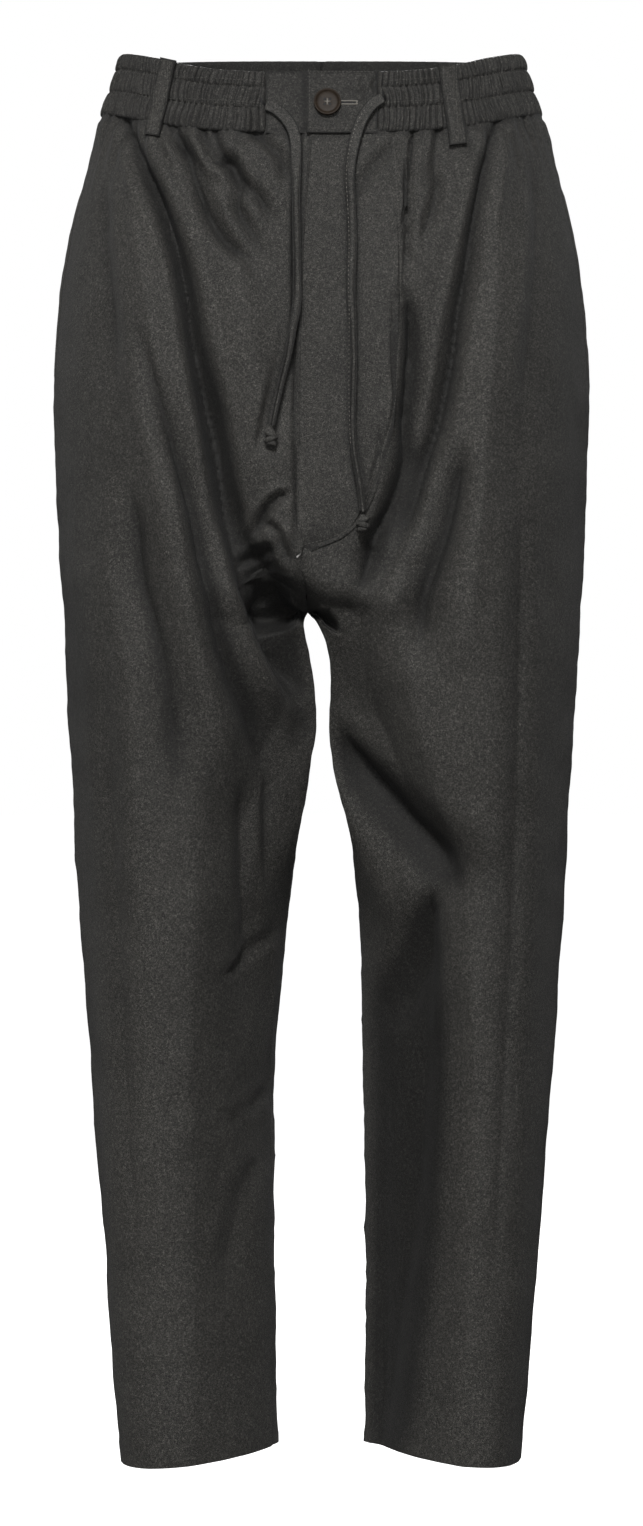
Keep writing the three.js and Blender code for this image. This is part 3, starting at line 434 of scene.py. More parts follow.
def apply_modifier(piece, kind, **settings):
    """Adds a modifier and applies it to the mesh."""
    modifier = piece.modifiers.new(kind.lower(), kind)
    for name, value in settings.items():
        setattr(modifier, name, value)
    only(piece)
    bpy.ops.object.modifier_apply(modifier=modifier.name)


def places_of(piece):
    """All of a piece's points, in millimetres."""
    flat = np.empty(len(piece.data.vertices) * 3)
    piece.data.vertices.foreach_get("co", flat)
    return flat.reshape(-1, 3) / MM


def put_places(piece, places):
    """Moves a piece's points to places in millimetres."""
    piece.data.vertices.foreach_set("co", (places * MM).ravel())
    piece.data.update()


def copy_of(node, name):
    """A merged copy of a CAD piece in quads."""
    piece = bpy.data.objects.new(name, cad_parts[node].data.copy())
    scene.collection.objects.link(piece)
    only(piece)
    bpy.ops.object.mode_set(mode="EDIT")
    bpy.ops.mesh.select_all(action="SELECT")
    bpy.ops.mesh.customdata_custom_splitnormals_clear()
    bpy.ops.mesh.remove_doubles(threshold=0.000001)
    bpy.ops.mesh.tris_convert_to_quads(face_threshold=1.2, shape_threshold=1.4)
    bpy.ops.object.mode_set(mode="OBJECT")
    return piece


def unit(rows):
    """Every row at length 1, and a row without length as it is."""
    length = np.linalg.norm(rows, axis=1, keepdims=True)
    return rows / np.where(length > 0, length, 1)


def surface_of(piece):
    """A piece's faces, ready for rays."""
    return BVHTree.FromObject(piece, bpy.context.evaluated_depsgraph_get())


def first_hit(surfaces, start, way, reach):
    """The nearest of several surfaces along a ray: how far away, the place and the face's normal."""
    best = None
    for faces in surfaces:
        hit, normal, _, away = faces.ray_cast(start, way, reach)
        if hit is not None and (best is None or away < best[0]):
            best = (away, hit, normal)
    return best


def mark_inner(piece, outside):
    """Notes which points are on the inner side of the cloth, where the shader paints shade on it."""
    layer = piece.data.attributes.new("inner_side", "FLOAT", "POINT")
    layer.data.foreach_set("value", 1 - np.clip(outside, 0, 1))


def mark_painted_shade(piece, painted_shade):
    """Notes the shade painted on each point: painted shade in creases, seams, along edges and beside other
    pieces, and below 0 a little painted light on ridges.
    """
    layer = piece.data.attributes.new("painted_shade", "FLOAT", "POINT")
    layer.data.foreach_set("value", np.clip(painted_shade, -0.25, 1))


def sew_in(piece, node, outside, painted_shade):
    """Marks a piece of cloth's inner side and its painted shade, and puts it in its CAD node's place."""
    mark_inner(piece, outside)
    mark_painted_shade(piece, painted_shade)
    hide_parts(node)
    finish_piece(piece, CHARCOAL)
    return piece


def two_layers(piece, axis_x, wall):
    """Tells the face side of a cloth shell from its back, keeps its edges crisp, and subdivides it.

    Returns, in millimetres, the points, the way out of the cloth at each, 1 on the face side and 0 on the
    back, the places on the face side over each point, the nearest place on the piece's edge, and how far
    away that is.
    """
    shell = bmesh.new()
    shell.from_mesh(piece.data)
    shell.verts.index_update()
    crease = shell.edges.layers.float.get("crease_edge") or shell.edges.layers.float.new("crease_edge")
    narrow = 1.35 * wall * MM
    rims = {face for face in shell.faces if any(edge.calc_length() < narrow for edge in face.edges)}
    side = {}
    for start in shell.faces:
        if start in rims or start in side:
            continue
        patch = [start]
        side[start] = 0
        faces_out = 0
        for face in patch:
            middle = face.calc_center_median()
            outward = face.normal.x * (middle.x - axis_x * MM) + face.normal.y * middle.y
            faces_out += face.calc_area() * outward
            for edge in face.edges:
                for other in edge.link_faces:
                    if other not in rims and other not in side:
                        side[other] = 0
                        patch.append(other)
        for face in patch:
            side[face] = 1 if faces_out > 0 else 0
    lean = np.zeros((len(shell.verts), 3))
    outside = np.zeros(len(shell.verts))
    for point in shell.verts:
        for face in point.link_faces:
            if face in side:
                lean[point.index] += np.array(face.normal) * face.calc_area() * (1 if side[face] else -1)
                outside[point.index] = side[face]
    outline = []
    for edge in shell.edges:
        rim_sides = sum(face in rims for face in edge.link_faces)
        if rim_sides == 1 or (rim_sides == 2 and edge.calc_face_angle(0) > 0.8):
            edge[crease] = 1.0
        if rim_sides == 1 and any(side.get(face) for face in edge.link_faces):
            first, last = (np.array(point.co) / MM for point in edge.verts)
            outline += [first + (last - first) * step / 8 for step in range(8)]
    shell.to_mesh(piece.data)
    shell.free()
    way = piece.data.attributes.new("lean", "FLOAT_VECTOR", "POINT")
    way.data.foreach_set("vector", unit(lean).ravel())
    layer = piece.data.attributes.new("outside", "FLOAT", "POINT")
    layer.data.foreach_set("value", outside)
    apply_modifier(piece, "SUBSURF", levels=3, render_levels=3)
    places = places_of(piece)
    lean = np.empty(places.size)
    piece.data.attributes["lean"].data.foreach_get("vector", lean)
    lean = unit(lean.reshape(-1, 3))
    outside = np.empty(len(places))
    piece.data.attributes["outside"].data.foreach_get("value", outside)
    piece.data.attributes.remove(piece.data.attributes["lean"])
    piece.data.attributes.remove(piece.data.attributes["outside"])
    over = places + lean * wall * (1 - outside)[:, None]
    tree = KDTree(len(outline))
    for number, point in enumerate(outline):
        tree.insert(point, number)
    tree.balance()
    edge_near = np.array([tree.find(point)[0] for point in over])
    edge_away = np.linalg.norm(over - edge_near, axis=1)
    return places, lean, outside, over, edge_near, edge_away


def ease(value, start, end):
    """Rises smoothly from 0 at start to 1 at end."""
    part = np.clip((value - start) / (end - start), 0, 1)
    return part * part * (3 - 2 * part)


def fine_line(points, step):
    """A smooth line through the points, in equal steps."""
    points = np.array(points, dtype=float)
    ends = np.vstack([2 * points[0] - points[1], points, 2 * points[-1] - points[-2]])
    line = []
    for index in range(1, len(points)):
        before, here, there, after = ends[index - 1:index + 3]
        for part in np.linspace(0, 1, 16, endpoint=False):
            line.append(0.5 * (2 * here + (there - before) * part
                               + (2 * before - 5 * here + 4 * there - after) * part ** 2
                               + (3 * here - before - 3 * there + after) * part ** 3))
    line.append(points[-1])
    line = np.array(line)
    gone = np.concatenate([[0], np.cumsum(np.linalg.norm(np.diff(line, axis=0), axis=1))])
    count = max(2, int(round(gone[-1] / step)) + 1)
    wanted = np.linspace(0, gone[-1], count)
    return np.stack([np.interp(wanted, gone, line[:, axis]) for axis in range(line.shape[1])], axis=1)


def beside(line, across, up):
    """For points seen from the front or back: which are near a line, how far beside it they are, to its left
    positive, and the part of its length that each has passed, below 0 before its start and over 1 after."""
    line = fine_line(line, 3.0)
    ways = unit(np.gradient(line, axis=0))
    margin = 70
    low = line.min(axis=0) - margin
    high = line.max(axis=0) + margin
    near = np.flatnonzero((across > low[0]) & (across < high[0]) & (up > low[1]) & (up < high[1]))
    gap_x = across[near, None] - line[None, :, 0]
    gap_z = up[near, None] - line[None, :, 1]
    best = np.argmin(gap_x ** 2 + gap_z ** 2, axis=1)
    rows = np.arange(len(near))
    off_x = gap_x[rows, best]
    off_z = gap_z[rows, best]
    way = ways[best]
    aside = off_x * -way[:, 1] + off_z * way[:, 0]
    ahead = off_x * way[:, 0] + off_z * way[:, 1]
    passed = (best * 3.0 + ahead) / (3.0 * (len(line) - 1))
    return near, aside, passed


def creases(rows, across, up):
    """The height that sharp and soft creases give the cloth."""
    height = np.zeros(len(across))
    for depth, left, right, crest, line in rows:
        near, aside, passed = beside(line, across, up)
        fade = ease(passed, -0.04, 0.20) * ease(passed, 1.04, 0.74)
        reach = np.where(aside < 0, left, right) * (0.72 + 0.5 * np.clip(passed, 0, 1))
        away = np.sqrt(aside ** 2 + 0.6) / reach
        groove = -depth * np.exp(-away ** 1.25)
        ridge = crest * np.exp(-((away - 2.5) / 1.1) ** 2)
        height[near] += fade * (groove + ridge)
    return height


def rumple(places, seed, longest, shortest, height):
    """Soft uneven waves in every direction, from long to short."""
    dice = random.Random(seed)
    total = np.zeros(len(places))
    power = 0
    for wave in range(26):
        length = longest * (shortest / longest) ** (wave / 25)
        way = np.array([dice.gauss(0, 1), dice.gauss(0, 1), dice.gauss(0, 0.6)])
        way /= np.linalg.norm(way)
        share = (length / longest) ** 0.8
        total += share * np.sin(2 * math.pi * (places @ way) / length + dice.uniform(0, 2 * math.pi))
        power += share ** 2 / 2
    return height * total / math.sqrt(power)


def round_from_front(across, deep):
    """How far round the waist a point is from the middle of the front, to the wearer's left positive."""
    turn = np.arctan2(across / BAND_HALF_WIDTH, -deep / BAND_HALF_DEPTH)
    steps = np.linspace(0, math.pi, 181)
    speed = np.hypot(BAND_HALF_WIDTH * np.cos(steps), BAND_HALF_DEPTH * np.sin(steps))
    gone = np.concatenate([[0], np.cumsum((speed[1:] + speed[:-1]) / 2 * (steps[1] - steps[0]))])
    return np.sign(turn) * np.interp(np.abs(turn), steps, gone)


WAIST_HALF = float(round_from_front(np.array([1e-6]), np.array([BAND_HALF_DEPTH]))[0])


def waist_level(deep):
    """How far the waist's line lies below or above its sides."""
    part = np.clip(deep / BAND_DEPTH, -1.3, 1.3) ** 2
    return np.where(deep < 0, -FRONT_DIP * part, BACK_RISE * part)


def settle_waist(places):
    """Lets the waistband's top dip a little more in front and stand a little higher behind."""
    height = places[:, 2] - BAND_BOTTOM - waist_level(places[:, 1])
    part = ease(height, 6, 42)
    places[:, 2] += part * (1.9 * ease(places[:, 1], 40, 106) - 2.8 * ease(-places[:, 1], 70, 106))


def gather_rows():
    """Uneven gathers where the legs are drawn into the waistband: place round the waist, drift, width,
    height and length, in millimetres."""
    dice = random.Random(41)
    rows = []
    for side in (-1, 1):
        place = 47.0
        while place < 470:
            height = dice.uniform(0.7, 2.0) * (-1 if len(rows) % 2 else 1)
            rows.append((side * place, dice.uniform(-0.10, 0.10), dice.uniform(2.6, 5.0), height,
                         dice.uniform(22, 95)))
            place += dice.uniform(5.5, 11)
    return rows


GATHERS = gather_rows()


def gathers(over):
    """The height that the gathers under the waistband give the cloth."""
    below = BAND_BOTTOM + waist_level(over[:, 1]) - over[:, 2]
    near = np.flatnonzero(below < 100)
    around = round_from_front(over[near, 0], over[near, 1])
    down = np.clip(below[near], 0, None)
    height = np.zeros(len(near))
    for place, drift, width, tall, length in GATHERS:
        part = np.clip(down / length, 0, 1)
        fade = (1 - part) ** 2 * (1 + 2 * part)
        off_line = (around - place - drift * down) / (width * (1 + 0.014 * down))
        height += tall * fade * np.exp(-off_line ** 2)
    result = np.zeros(len(over))
    result[near] = height * (0.45 + 0.55 * ease(down, 0, 7))
    return result


def tie_shadow(over):
    """1 on the cloth along both edges of each tie, where the tie's painted shadow falls."""
    result = np.zeros(len(over))
    for route in TIE_ROUTES.values():
        near, aside, passed = beside([(x, z) for x, _, z in route], over[:, 0], over[:, 2])
        close = (over[near, 1] < -60) & (passed > 0.12) & (passed < 1.0)
        half = np.interp(passed, [0, 0.3, 1], [4.6, 3.6, 3.0])
        result[near] = np.maximum(result[near], close * np.exp(-((np.abs(aside) - half) / 1.5) ** 2))
    return result


def cloth_height(over, lean):
    """The folds, gathers and waves of a leg's cloth, and the shade painted on it: darker in creases, gathers
    and beside the ties, a little lighter on ridges.
    """
    forward = ease(-lean[:, 1], 0.05, 0.45)
    backward = ease(lean[:, 1], 0.05, 0.45)
    folds = creases(FRONT_CREASES, over[:, 0], over[:, 2]) * forward
    folds += creases(BACK_CREASES, over[:, 0], over[:, 2]) * backward
    drawn_in = gathers(over)
    height = folds + drawn_in + rumple(over, 7, 120, 34, 0.55) + rumple(over, 8, 30, 12, 0.12)
    # Painted shade in creases and gathers, painted light on ridges, and the ties' painted shadow beside
    # them.
    painted_shade = ease(-folds, 0.6, 6.5) + 0.5 * ease(-drawn_in, 0.2, 1.6) - 0.24 * ease(folds, 0.3, 3.0)
    painted_shade += 0.85 * tie_shadow(over)
    return height, painted_shade


def under_ties(over, height):
    """Lets no fold stand up under the ties."""
    for route in TIE_ROUTES.values():
        line = [(x, z) for x, _, z in route]
        near, aside, passed = beside(line, over[:, 0], over[:, 2])
        close = near[over[near, 1] < -60]
        keep = np.isin(near, close)
        aside = aside[keep]
        passed = passed[keep]
        mask = ease(np.abs(aside), 11, 6) * ease(passed, -0.12, -0.02) * ease(passed, 1.12, 1.02)
        held = height[close]
        height[close] = held * (1 - mask) + np.minimum(held, 0) * mask
        pressed = ease(passed, 0.1, 0.3) * ease(passed, 1.03, 0.97)
        height[close] -= TIE_PRESS * pressed * np.exp(-(aside / 4.6) ** 2)
    return height


def fly_lap(over):
    """1 along the line just outside the fly facing's free edge, where the cloth under it is pressed in."""
    line = [(-14, -38), (-18.4, -110), (-18.2, -220), (-17.8, -329)]
    near, aside, passed = beside(line, over[:, 0], over[:, 2])
    result = np.zeros(len(over))
    result[near] = np.exp(-(aside / 1.5) ** 2) * ease(passed, -0.02, 0.02) * ease(passed, 1.02, 0.98)
    return result


def front_depths(piece):
    """How far back a leg's front lies over the crotch, on a grid seen from the front, as it is and eased."""
    faces = surface_of(piece)
    across = np.arange(*GRID_ACROSS, GRID_STEP)
    up = np.arange(*GRID_UP, GRID_STEP)
    depths = np.full((len(across), len(up)), np.nan)
    for column, x in enumerate(across):
        for row, z in enumerate(up):
            hit = faces.ray_cast(Vector((x, -300, z)) * MM, Vector((0, 1, 0)))[0]
            if hit is not None:
                depths[column, row] = hit.y / MM
    held = ~np.isnan(depths)
    weight = held.astype(float)
    total = np.where(held, depths, 0)
    steps = np.arange(-15, 16)
    bell = np.exp(-(steps * GRID_STEP / CROTCH_EASE) ** 2 / 2)
    for axis in (0, 1):
        total = np.apply_along_axis(lambda row: np.convolve(row, bell, "same"), axis, total)
        weight = np.apply_along_axis(lambda row: np.convolve(row, bell, "same"), axis, weight)
    return across, up, np.nan_to_num(depths, nan=NOTHING_THERE), total / np.maximum(weight, 1e-6)


def on_grid(across, up, grid, x, z):
    """A grid's value at places between its lines."""
    column = np.clip((x - across[0]) / GRID_STEP, 0, len(across) - 1.001)
    row = np.clip((z - up[0]) / GRID_STEP, 0, len(up) - 1.001)
    left = column.astype(int)
    low = row.astype(int)
    right_part = column - left
    high_part = row - low
    below = grid[left, low] * (1 - right_part) + grid[left + 1, low] * right_part
    above = grid[left, low + 1] * (1 - right_part) + grid[left + 1, low + 1] * right_part
    return below * (1 - high_part) + above * high_part


def crotch_ease(piece, over, edge_away):
    """How far forward the cloth beside the crotch moves, so that the fly runs into the legs in a slope."""
    across, up, depths, eased = front_depths(piece)
    seen = on_grid(across, up, depths, over[:, 0], over[:, 2])
    wanted = on_grid(across, up, eased, over[:, 0], over[:, 2])
    level = ease(over[:, 2], -600, -510) * ease(over[:, 2], -300, -335)
    wide = ease(np.abs(over[:, 0]), 96, 70)
    in_front = ease(over[:, 1] - seen, 14, 6) * (seen < NOTHING_THERE - 99)
    free = ease(edge_away, 1, 12)
    return np.maximum(over[:, 1] - wanted, 0) * level * wide * in_front * free


def make_panel(node):
    """One of the four cut panels, with its folds, gathers and seams."""
    piece = copy_of(node, "cloth_" + node)
    side = 1 if node.endswith("left") else -1
    places, lean, outside, over, edge_near, edge_away = two_layers(piece, side * LEG_MIDDLE_X, CLOTH_WALL)
    height, painted_shade = cloth_height(over, lean)
    height = under_ties(over, height)
    height -= 2.6 * fly_lap(over) * ease(-lean[:, 1], 0.3, 0.7)
    below = BAND_BOTTOM + waist_level(edge_near[:, 1]) - edge_near[:, 2]
    at_top = below <= 6
    on_seam = ~at_top & (edge_near[:, 2] > HEM_TOP)
    pucker = 0.25 * np.sin(over[:, 2] / 2.1) + 0.2 * np.sin(over[:, 2] / 3.3 + 1)
    seam = -1.2 * np.exp(-edge_away / 2.4) + 0.3 * np.exp(-((edge_away - 7) / 3) ** 2)
    seam += pucker * np.exp(-edge_away / 7)
    at_band = -0.9 * np.exp(-edge_away / 1.8)
    height += np.where(on_seam, seam, 0) + np.where(at_top, at_band, 0)
    held = np.where(at_top, ease(edge_away, 5, 0.5), 0)
    height = height * (1 - held) + np.minimum(height, -0.5) * held
    places = places + lean * height[:, None]
    places[:, 2] += np.where(at_top, 4.2 * np.exp(-(edge_away / 2.2) ** 2), 0)
    middle = on_seam & (np.abs(edge_near[:, 0]) < 30) & (edge_near[:, 2] > -470)
    places[:, 0] -= np.where(middle, side * 0.45 * np.exp(-(edge_away / 1.2) ** 2), 0)
    if node.startswith("front"):
        places[:, 1] -= crotch_ease(piece, over, edge_away)
    put_places(piece, places)
    # Painted shade: darker in the recess by the crotch, along the seams, under the waistband and beside the
    # fly facing's free edge, where shadow falls.
    recess = ease(over[:, 1], -104, -76) * ease(over[:, 2], -480, -430) * ease(over[:, 2], -335, -352)
    painted_shade += 0.35 * recess * ease(-over[:, 0], -2, 8) * ease(-lean[:, 1], -0.1, 0.3)
    painted_shade += np.where(on_seam, 0.45 * np.exp(-edge_away / 1.2), 0)
    painted_shade += np.where(at_top, np.exp(-edge_away / 2.6), 0) + 0.8 * fly_lap(over)
    return sew_in(piece, node, outside, painted_shade)


# Ties.


def make_tie(side):
    """A flat tie of folded cloth on its route, which curls narrower half way down."""
    route = fine_line(TIE_ROUTES[side], 2.4)
    count = len(route)
    ways = unit(np.gradient(route, axis=0))
    ring = []
    for part in range(TIE_SIDES):
        turn = 2 * math.pi * part / TIE_SIDES
        across = math.copysign(abs(math.cos(turn)) ** 0.45, math.cos(turn))
        thick = math.copysign(abs(math.sin(turn)) ** 0.8, math.sin(turn))
        ring.append((across, thick))
    points = []
    for index in range(count):
        way = ways[index]
        front = np.array([0.0, -1.0, 0.0])
        front -= way * front.dot(way)
        front /= np.linalg.norm(front)
        across = np.cross(way, front)
        gone = index / (count - 1)
        curl = np.interp(gone, *zip(*TIE_CURLS[side]))
        roll = np.interp(gone, *zip(*TIE_ROLLS[side]))
        rolled = across * math.cos(roll) + front * math.sin(roll)
        front = front * math.cos(roll) - across * math.sin(roll)
        half = TIE_WIDTH / 2 - 0.4
        radius = half / (curl / 2)
        for wide, thick in ring:
            bend = wide * half / radius
            lip = 0.14 * (abs(wide) > 0.62)
            depth = thick * (TIE_THICK / 2 + lip)
            flat = (radius - depth) * math.sin(bend)
            lift = radius - (radius - depth) * math.cos(bend)
            points.append((route[index] + rolled * flat + front * lift) * MM)
    faces = []
    for index in range(count - 1):
        for part in range(TIE_SIDES):
            here = index * TIE_SIDES + part
            there = index * TIE_SIDES + (part + 1) % TIE_SIDES
            faces.append((here, there, there + TIE_SIDES, here + TIE_SIDES))
    faces.append(tuple(reversed(range(TIE_SIDES))))
    faces.append(tuple(range((count - 1) * TIE_SIDES, count * TIE_SIDES)))
    piece = new_piece("tie_" + side, points, faces)
    # Painted shade along both edges of the tie, and a little over all of it.
    edge_shade = [0.1 + 0.85 * (abs(wide) > 0.85) for wide, _ in ring]
    mark_painted_shade(piece, np.array(edge_shade * count))
    only(piece)
    bpy.ops.object.mode_set(mode="EDIT")
    bpy.ops.mesh.select_all(action="SELECT")
    bpy.ops.mesh.normals_make_consistent(inside=False)
    bpy.ops.object.mode_set(mode="OBJECT")
    apply_modifier(piece, "SUBSURF", levels=1, render_levels=1)
    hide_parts("drawstring_" + side)
    finish_piece(piece, CHARCOAL_TAPE)
    length = float(np.linalg.norm(np.diff(route, axis=0), axis=1).sum()) * MM
    return piece, route * MM, length


def make_knot(side):
    """An overhand knot in the tie's end: two wraps round each other, a core, and the end below them."""
    centre = Vector(TIE_ROUTES[side][-1]) * MM
    centre.z -= KNOT_DROP * MM
    tilt = 0.5 if side == "right" else -0.42
    parts = []
    for number, (major, minor, drop, turn, squash) in enumerate((
        (3.3, 1.9, 1.9, tilt, 0.9), (3.1, 2.0, -1.3, -tilt * 0.8, 0.9), (2.0, 1.9, -4.2, tilt * 0.5, 0.8),
    )):
        bpy.ops.object.select_all(action="DESELECT")
        bpy.ops.mesh.primitive_torus_add(
            major_segments=28, minor_segments=14, major_radius=major * MM, minor_radius=minor * MM,
            location=(centre.x, centre.y, centre.z + drop * MM), rotation=(0.15 - 0.2 * number, turn, 0),
        )
        wrap = bpy.context.object
        wrap.scale = (1, squash, 1)
        bpy.ops.object.transform_apply(location=True, rotation=True, scale=True)
        parts.append(wrap)
    bpy.ops.object.select_all(action="DESELECT")
    bpy.ops.mesh.primitive_uv_sphere_add(segments=20, ring_count=12, radius=3.0 * MM, location=centre)
    core = bpy.context.object
    core.scale = (1.1, 0.9, 2.0)
    bpy.ops.object.transform_apply(location=True, rotation=True, scale=True)
    parts.append(core)
    bpy.ops.object.select_all(action="DESELECT")
    for part in parts:
        part.select_set(True)
    bpy.context.view_layer.objects.active = parts[0]
    bpy.ops.object.join()
    knot = parts[0]
    knot.name = "tie_knot_" + side
    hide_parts("knot_" + side)
    finish_piece(knot, CHARCOAL_TAPE)
    return knot


add_camera()
TIES = {}
for side in ("right", "left"):
    tie, path, length = make_tie(side)
    knot = make_knot(side)
    TIES[side] = tie


# Legs.

PANELS = {node: make_panel(node) for node in ("front_right", "front_left", "back_right", "back_left")}


# Waistband, fly and small cloth pieces.


def band_ribs(dice):
    """Uneven ribs round a half of the waistband: where each starts, and how tall it is."""
    starts = [-20.0]
    while starts[-1] < 520:
        starts.append(starts[-1] + dice.uniform(*RIB_WIDTHS))
    return np.array(starts), np.array([dice.uniform(0.35, 1.0) ** 1.3 for _ in starts])


def away_from_middle(places):
    """The level way out of the waistband's ring at each place."""
    level = np.zeros(len(places))
    out = np.stack([places[:, 0] / BAND_HALF_WIDTH ** 2, places[:, 1] / BAND_HALF_DEPTH ** 2, level], axis=1)
    return unit(out)


def make_band_half(side):
    """A gathered half of the waistband: three puffed channels, with two stitched rows between them."""
    node = "waistband_" + side
    piece = copy_of(node, "cloth_" + node)
    apply_modifier(piece, "SUBSURF", levels=3, render_levels=3)
    places = places_of(piece)
    normals = np.empty(places.size)
    piece.data.vertex_normals.foreach_get("vector", normals)
    out = away_from_middle(places)
    outside = (normals.reshape(-1, 3) * out).sum(axis=1)
    facing = ease(outside, -0.05, 0.5)
    down = BAND_TOP + waist_level(places[:, 1]) - places[:, 2]
    around = np.abs(round_from_front(places[:, 0], places[:, 1]))
    gathered = ease(around, GATHERED_FROM, GATHERED_ALL)
    height = np.zeros(len(places))
    painted_shade = np.zeros(len(places))
    dice = random.Random(17 if side == "right" else 23)
    shared = band_ribs(dice)
    for start, end in BAND_CHANNELS:
        part = np.clip((down - start) / (end - start), 0, 1)
        inside = (down >= start) & (down < end)
        swell = np.sin(math.pi * part) ** 0.55
        drift = 1.4 * np.sin(down / 7.0 + around / 23.0 + dice.uniform(0, 6)) + dice.uniform(-1, 1)
        ribs = np.zeros(len(places))
        for (starts, tall), share in ((shared, 0.55), (band_ribs(dice), 0.75)):
            which = np.clip(np.searchsorted(starts, around + drift) - 1, 0, len(starts) - 2)
            across = (around + drift - starts[which]) / (starts[which + 1] - starts[which])
            round_top = np.sin(math.pi * np.clip(across, 0, 1)) ** 0.6
            ribs += share * (0.45 + 0.55 * tall[which]) * (round_top - 0.5)
            # Painted shade in the hollows between the ribs.
            between = share * (0.4 + 0.8 * tall[which]) * ease(0.62 - round_top, 0, 0.5)
            painted_shade += np.where(inside, between, 0)
        height += np.where(inside, 0.7 * swell + (0.45 + 0.55 * swell) * RIB_HEIGHT * ribs * gathered, 0)
    for row in BAND_ROWS:
        height -= 0.6 * gathered * np.exp(-((down - row) / 0.9) ** 2)
    height *= 0.2 + 0.8 * gathered
    places += out * (height * facing)[:, None]
    settle_waist(places)
    put_places(piece, places)
    # Painted shade over the band's face, deeper in the gathers and in a line at its foot.
    at_foot = ease(down, 40.6, 42.2)
    painted_shade = facing * np.clip(0.2 + 1.8 * painted_shade * gathered + at_foot, 0, 1.2)
    return sew_in(piece, node, ease(outside, -0.5, 0.2), painted_shade)


def stitched_edge(edge_away, inset, depth):
    """The narrow channel that a row of stitches presses beside an edge."""
    channel = -depth * np.exp(-((edge_away - inset) / 0.55) ** 2)
    return channel + 0.15 * np.exp(-((edge_away - inset / 2) / 0.5) ** 2)


# Small folds in the overlap: depth, reach to each side, and the line in x and z.
OVERLAP_FOLDS = (
    (1.5, 2.2, [(40, 2), (36, -6), (41, -18)]),
    (1.0, 2.0, [(33, 4), (27, -4), (30, -14), (24, -24)]),
    (0.8, 2.4, [(14, -8), (24, -11), (33, -9)]),
    (0.7, 3.0, [(-6, -33), (8, -30), (24, -34)]),
)


def make_flat_band(node, seed):
    """A flat front end of the waistband."""
    piece = copy_of(node, "cloth_" + node)
    places, lean, outside, over, _, edge_away = two_layers(piece, 0, FLAT_BAND_WALL)
    height = stitched_edge(edge_away, 2.0, 0.35) + rumple(over, seed, 36, 10, 0.26)
    height += 0.35 * ease(edge_away, 0.5, 7)
    if node.endswith("overlap"):
        for depth, reach, line in OVERLAP_FOLDS:
            near, aside, passed = beside(line, over[:, 0], over[:, 2])
            fade = ease(passed, 0, 0.3) * ease(passed, 1, 0.7)
            height[near] -= depth * np.exp(-(aside / reach) ** 2) * fade
        height += 0.8 * ease(over[:, 0], 0, -9)
    places = places + lean * height[:, None]
    settle_waist(places)
    put_places(piece, places)
    # Painted shade over the band, along its edges and in its folds, and a painted shadow on the underlap
    # beside the overlap's edge.
    painted_shade = 0.28 + 0.9 * ease(1.7 - edge_away, 0, 1.5) + 0.4 * ease(-height, 0.1, 1.2)
    if node.endswith("underlap"):
        painted_shade += 0.9 * np.exp(-((over[:, 0] + 11.6) / 1.5) ** 2) + 0.2 * ease(over[:, 0], -30, -14)
    return sew_in(piece, node, outside, painted_shade)


def lift_over(places, lean, carriers, wanted, above, reach):
    """How far each point has to rise, or sink, to lie at its wanted height over the cloth under it."""
    surfaces = [surface_of(carrier) for carrier in carriers]
    lift = np.zeros(len(places))
    for index, (place, way) in enumerate(zip(places, lean)):
        best = first_hit(surfaces, Vector((place + way * above) * MM), Vector(-way), reach * MM)
        if best is not None:
            lift[index] = wanted[index] - (best[0] / MM - above)
    return lift


def keep_above(places, lean, outside, carriers):
    """Raises a belt loop wherever the cloth under it would come through."""
    return np.maximum(lift_over(places, lean, carriers, 0.1 + LOOP_WALL * outside, 12, 24), 0)


def laid_over(places, lean, outside, wall, carriers, clear):
    """The shift that lays a piece along the cloth under it, at a clearance."""
    return np.clip(lift_over(places, lean, carriers, clear + wall * outside, 14, 32), -4.5, 6)


def smoothed(values, piece, rounds, keep_high=True):
    """Evens out a value over a piece's own points."""
    edges = np.empty(len(piece.data.edges) * 2, dtype=int)
    piece.data.edges.foreach_get("vertices", edges)
    edges = edges.reshape(-1, 2)
    for _ in range(rounds):
        total = values.copy()
        count = np.ones(len(values))
        np.add.at(total, edges[:, 0], values[edges[:, 1]])
        np.add.at(total, edges[:, 1], values[edges[:, 0]])
        np.add.at(count, edges.ravel(), 1)
        values = np.maximum(values, total / count) if keep_high else total / count
    return values


def make_placket():
    """The fly's facing, laid over the front with its free edge to the wearer's right."""
    piece = copy_of("fly_placket", "cloth_fly_placket")
    places, lean, outside, over, edge_near, edge_away = two_layers(piece, 0, PLACKET_WALL)
    low = ease(-over[:, 2], 190, 280)
    places[:, 0] += 8 * ease(over[:, 0], -5, 30) * low
    places[:, 2] -= 7 * ease(over[:, 0], -10, 15) * ease(-over[:, 2], 270, 305) * ease(over[:, 0], 45, 30)
    carriers = [PANELS["front_left"], PANELS["front_right"]]
    shift = laid_over(places, lean, outside, PLACKET_WALL, carriers, 0.1)
    shift = smoothed(shift, piece, 2, keep_high=False)
    at_free_edge = (edge_near[:, 0] < -9) * ease(edge_away, 4.5, 0)
    height = stitched_edge(edge_away, 2.2, 0.5) + 0.9 * at_free_edge + rumple(over, 12, 40, 12, 0.18)
    facing_line = [(52, -42), (56, -110), (57, -180), (54.5, -217), (47, -251), (35, -290), (26, -309)]
    near, aside, passed = beside(facing_line, places[:, 0], places[:, 2])
    height[near] -= 0.9 * np.exp(-((aside + 3.4) / 0.8) ** 2) * (passed > 0) * (passed < 1)
    put_places(piece, places + lean * (shift + height)[:, None])
    # Painted shade in the creases, along the edges and beside the ties, and painted light on ridges.
    folds = creases(FRONT_CREASES, places[:, 0], places[:, 2])
    painted_shade = ease(-folds, 0.6, 6.5) + 0.6 * ease(1.6 - edge_away, 0, 1.6)
    painted_shade += 0.75 * tie_shadow(places) - 0.15 * ease(folds, 0.3, 3.0)
    return sew_in(piece, "fly_placket", outside, painted_shade)


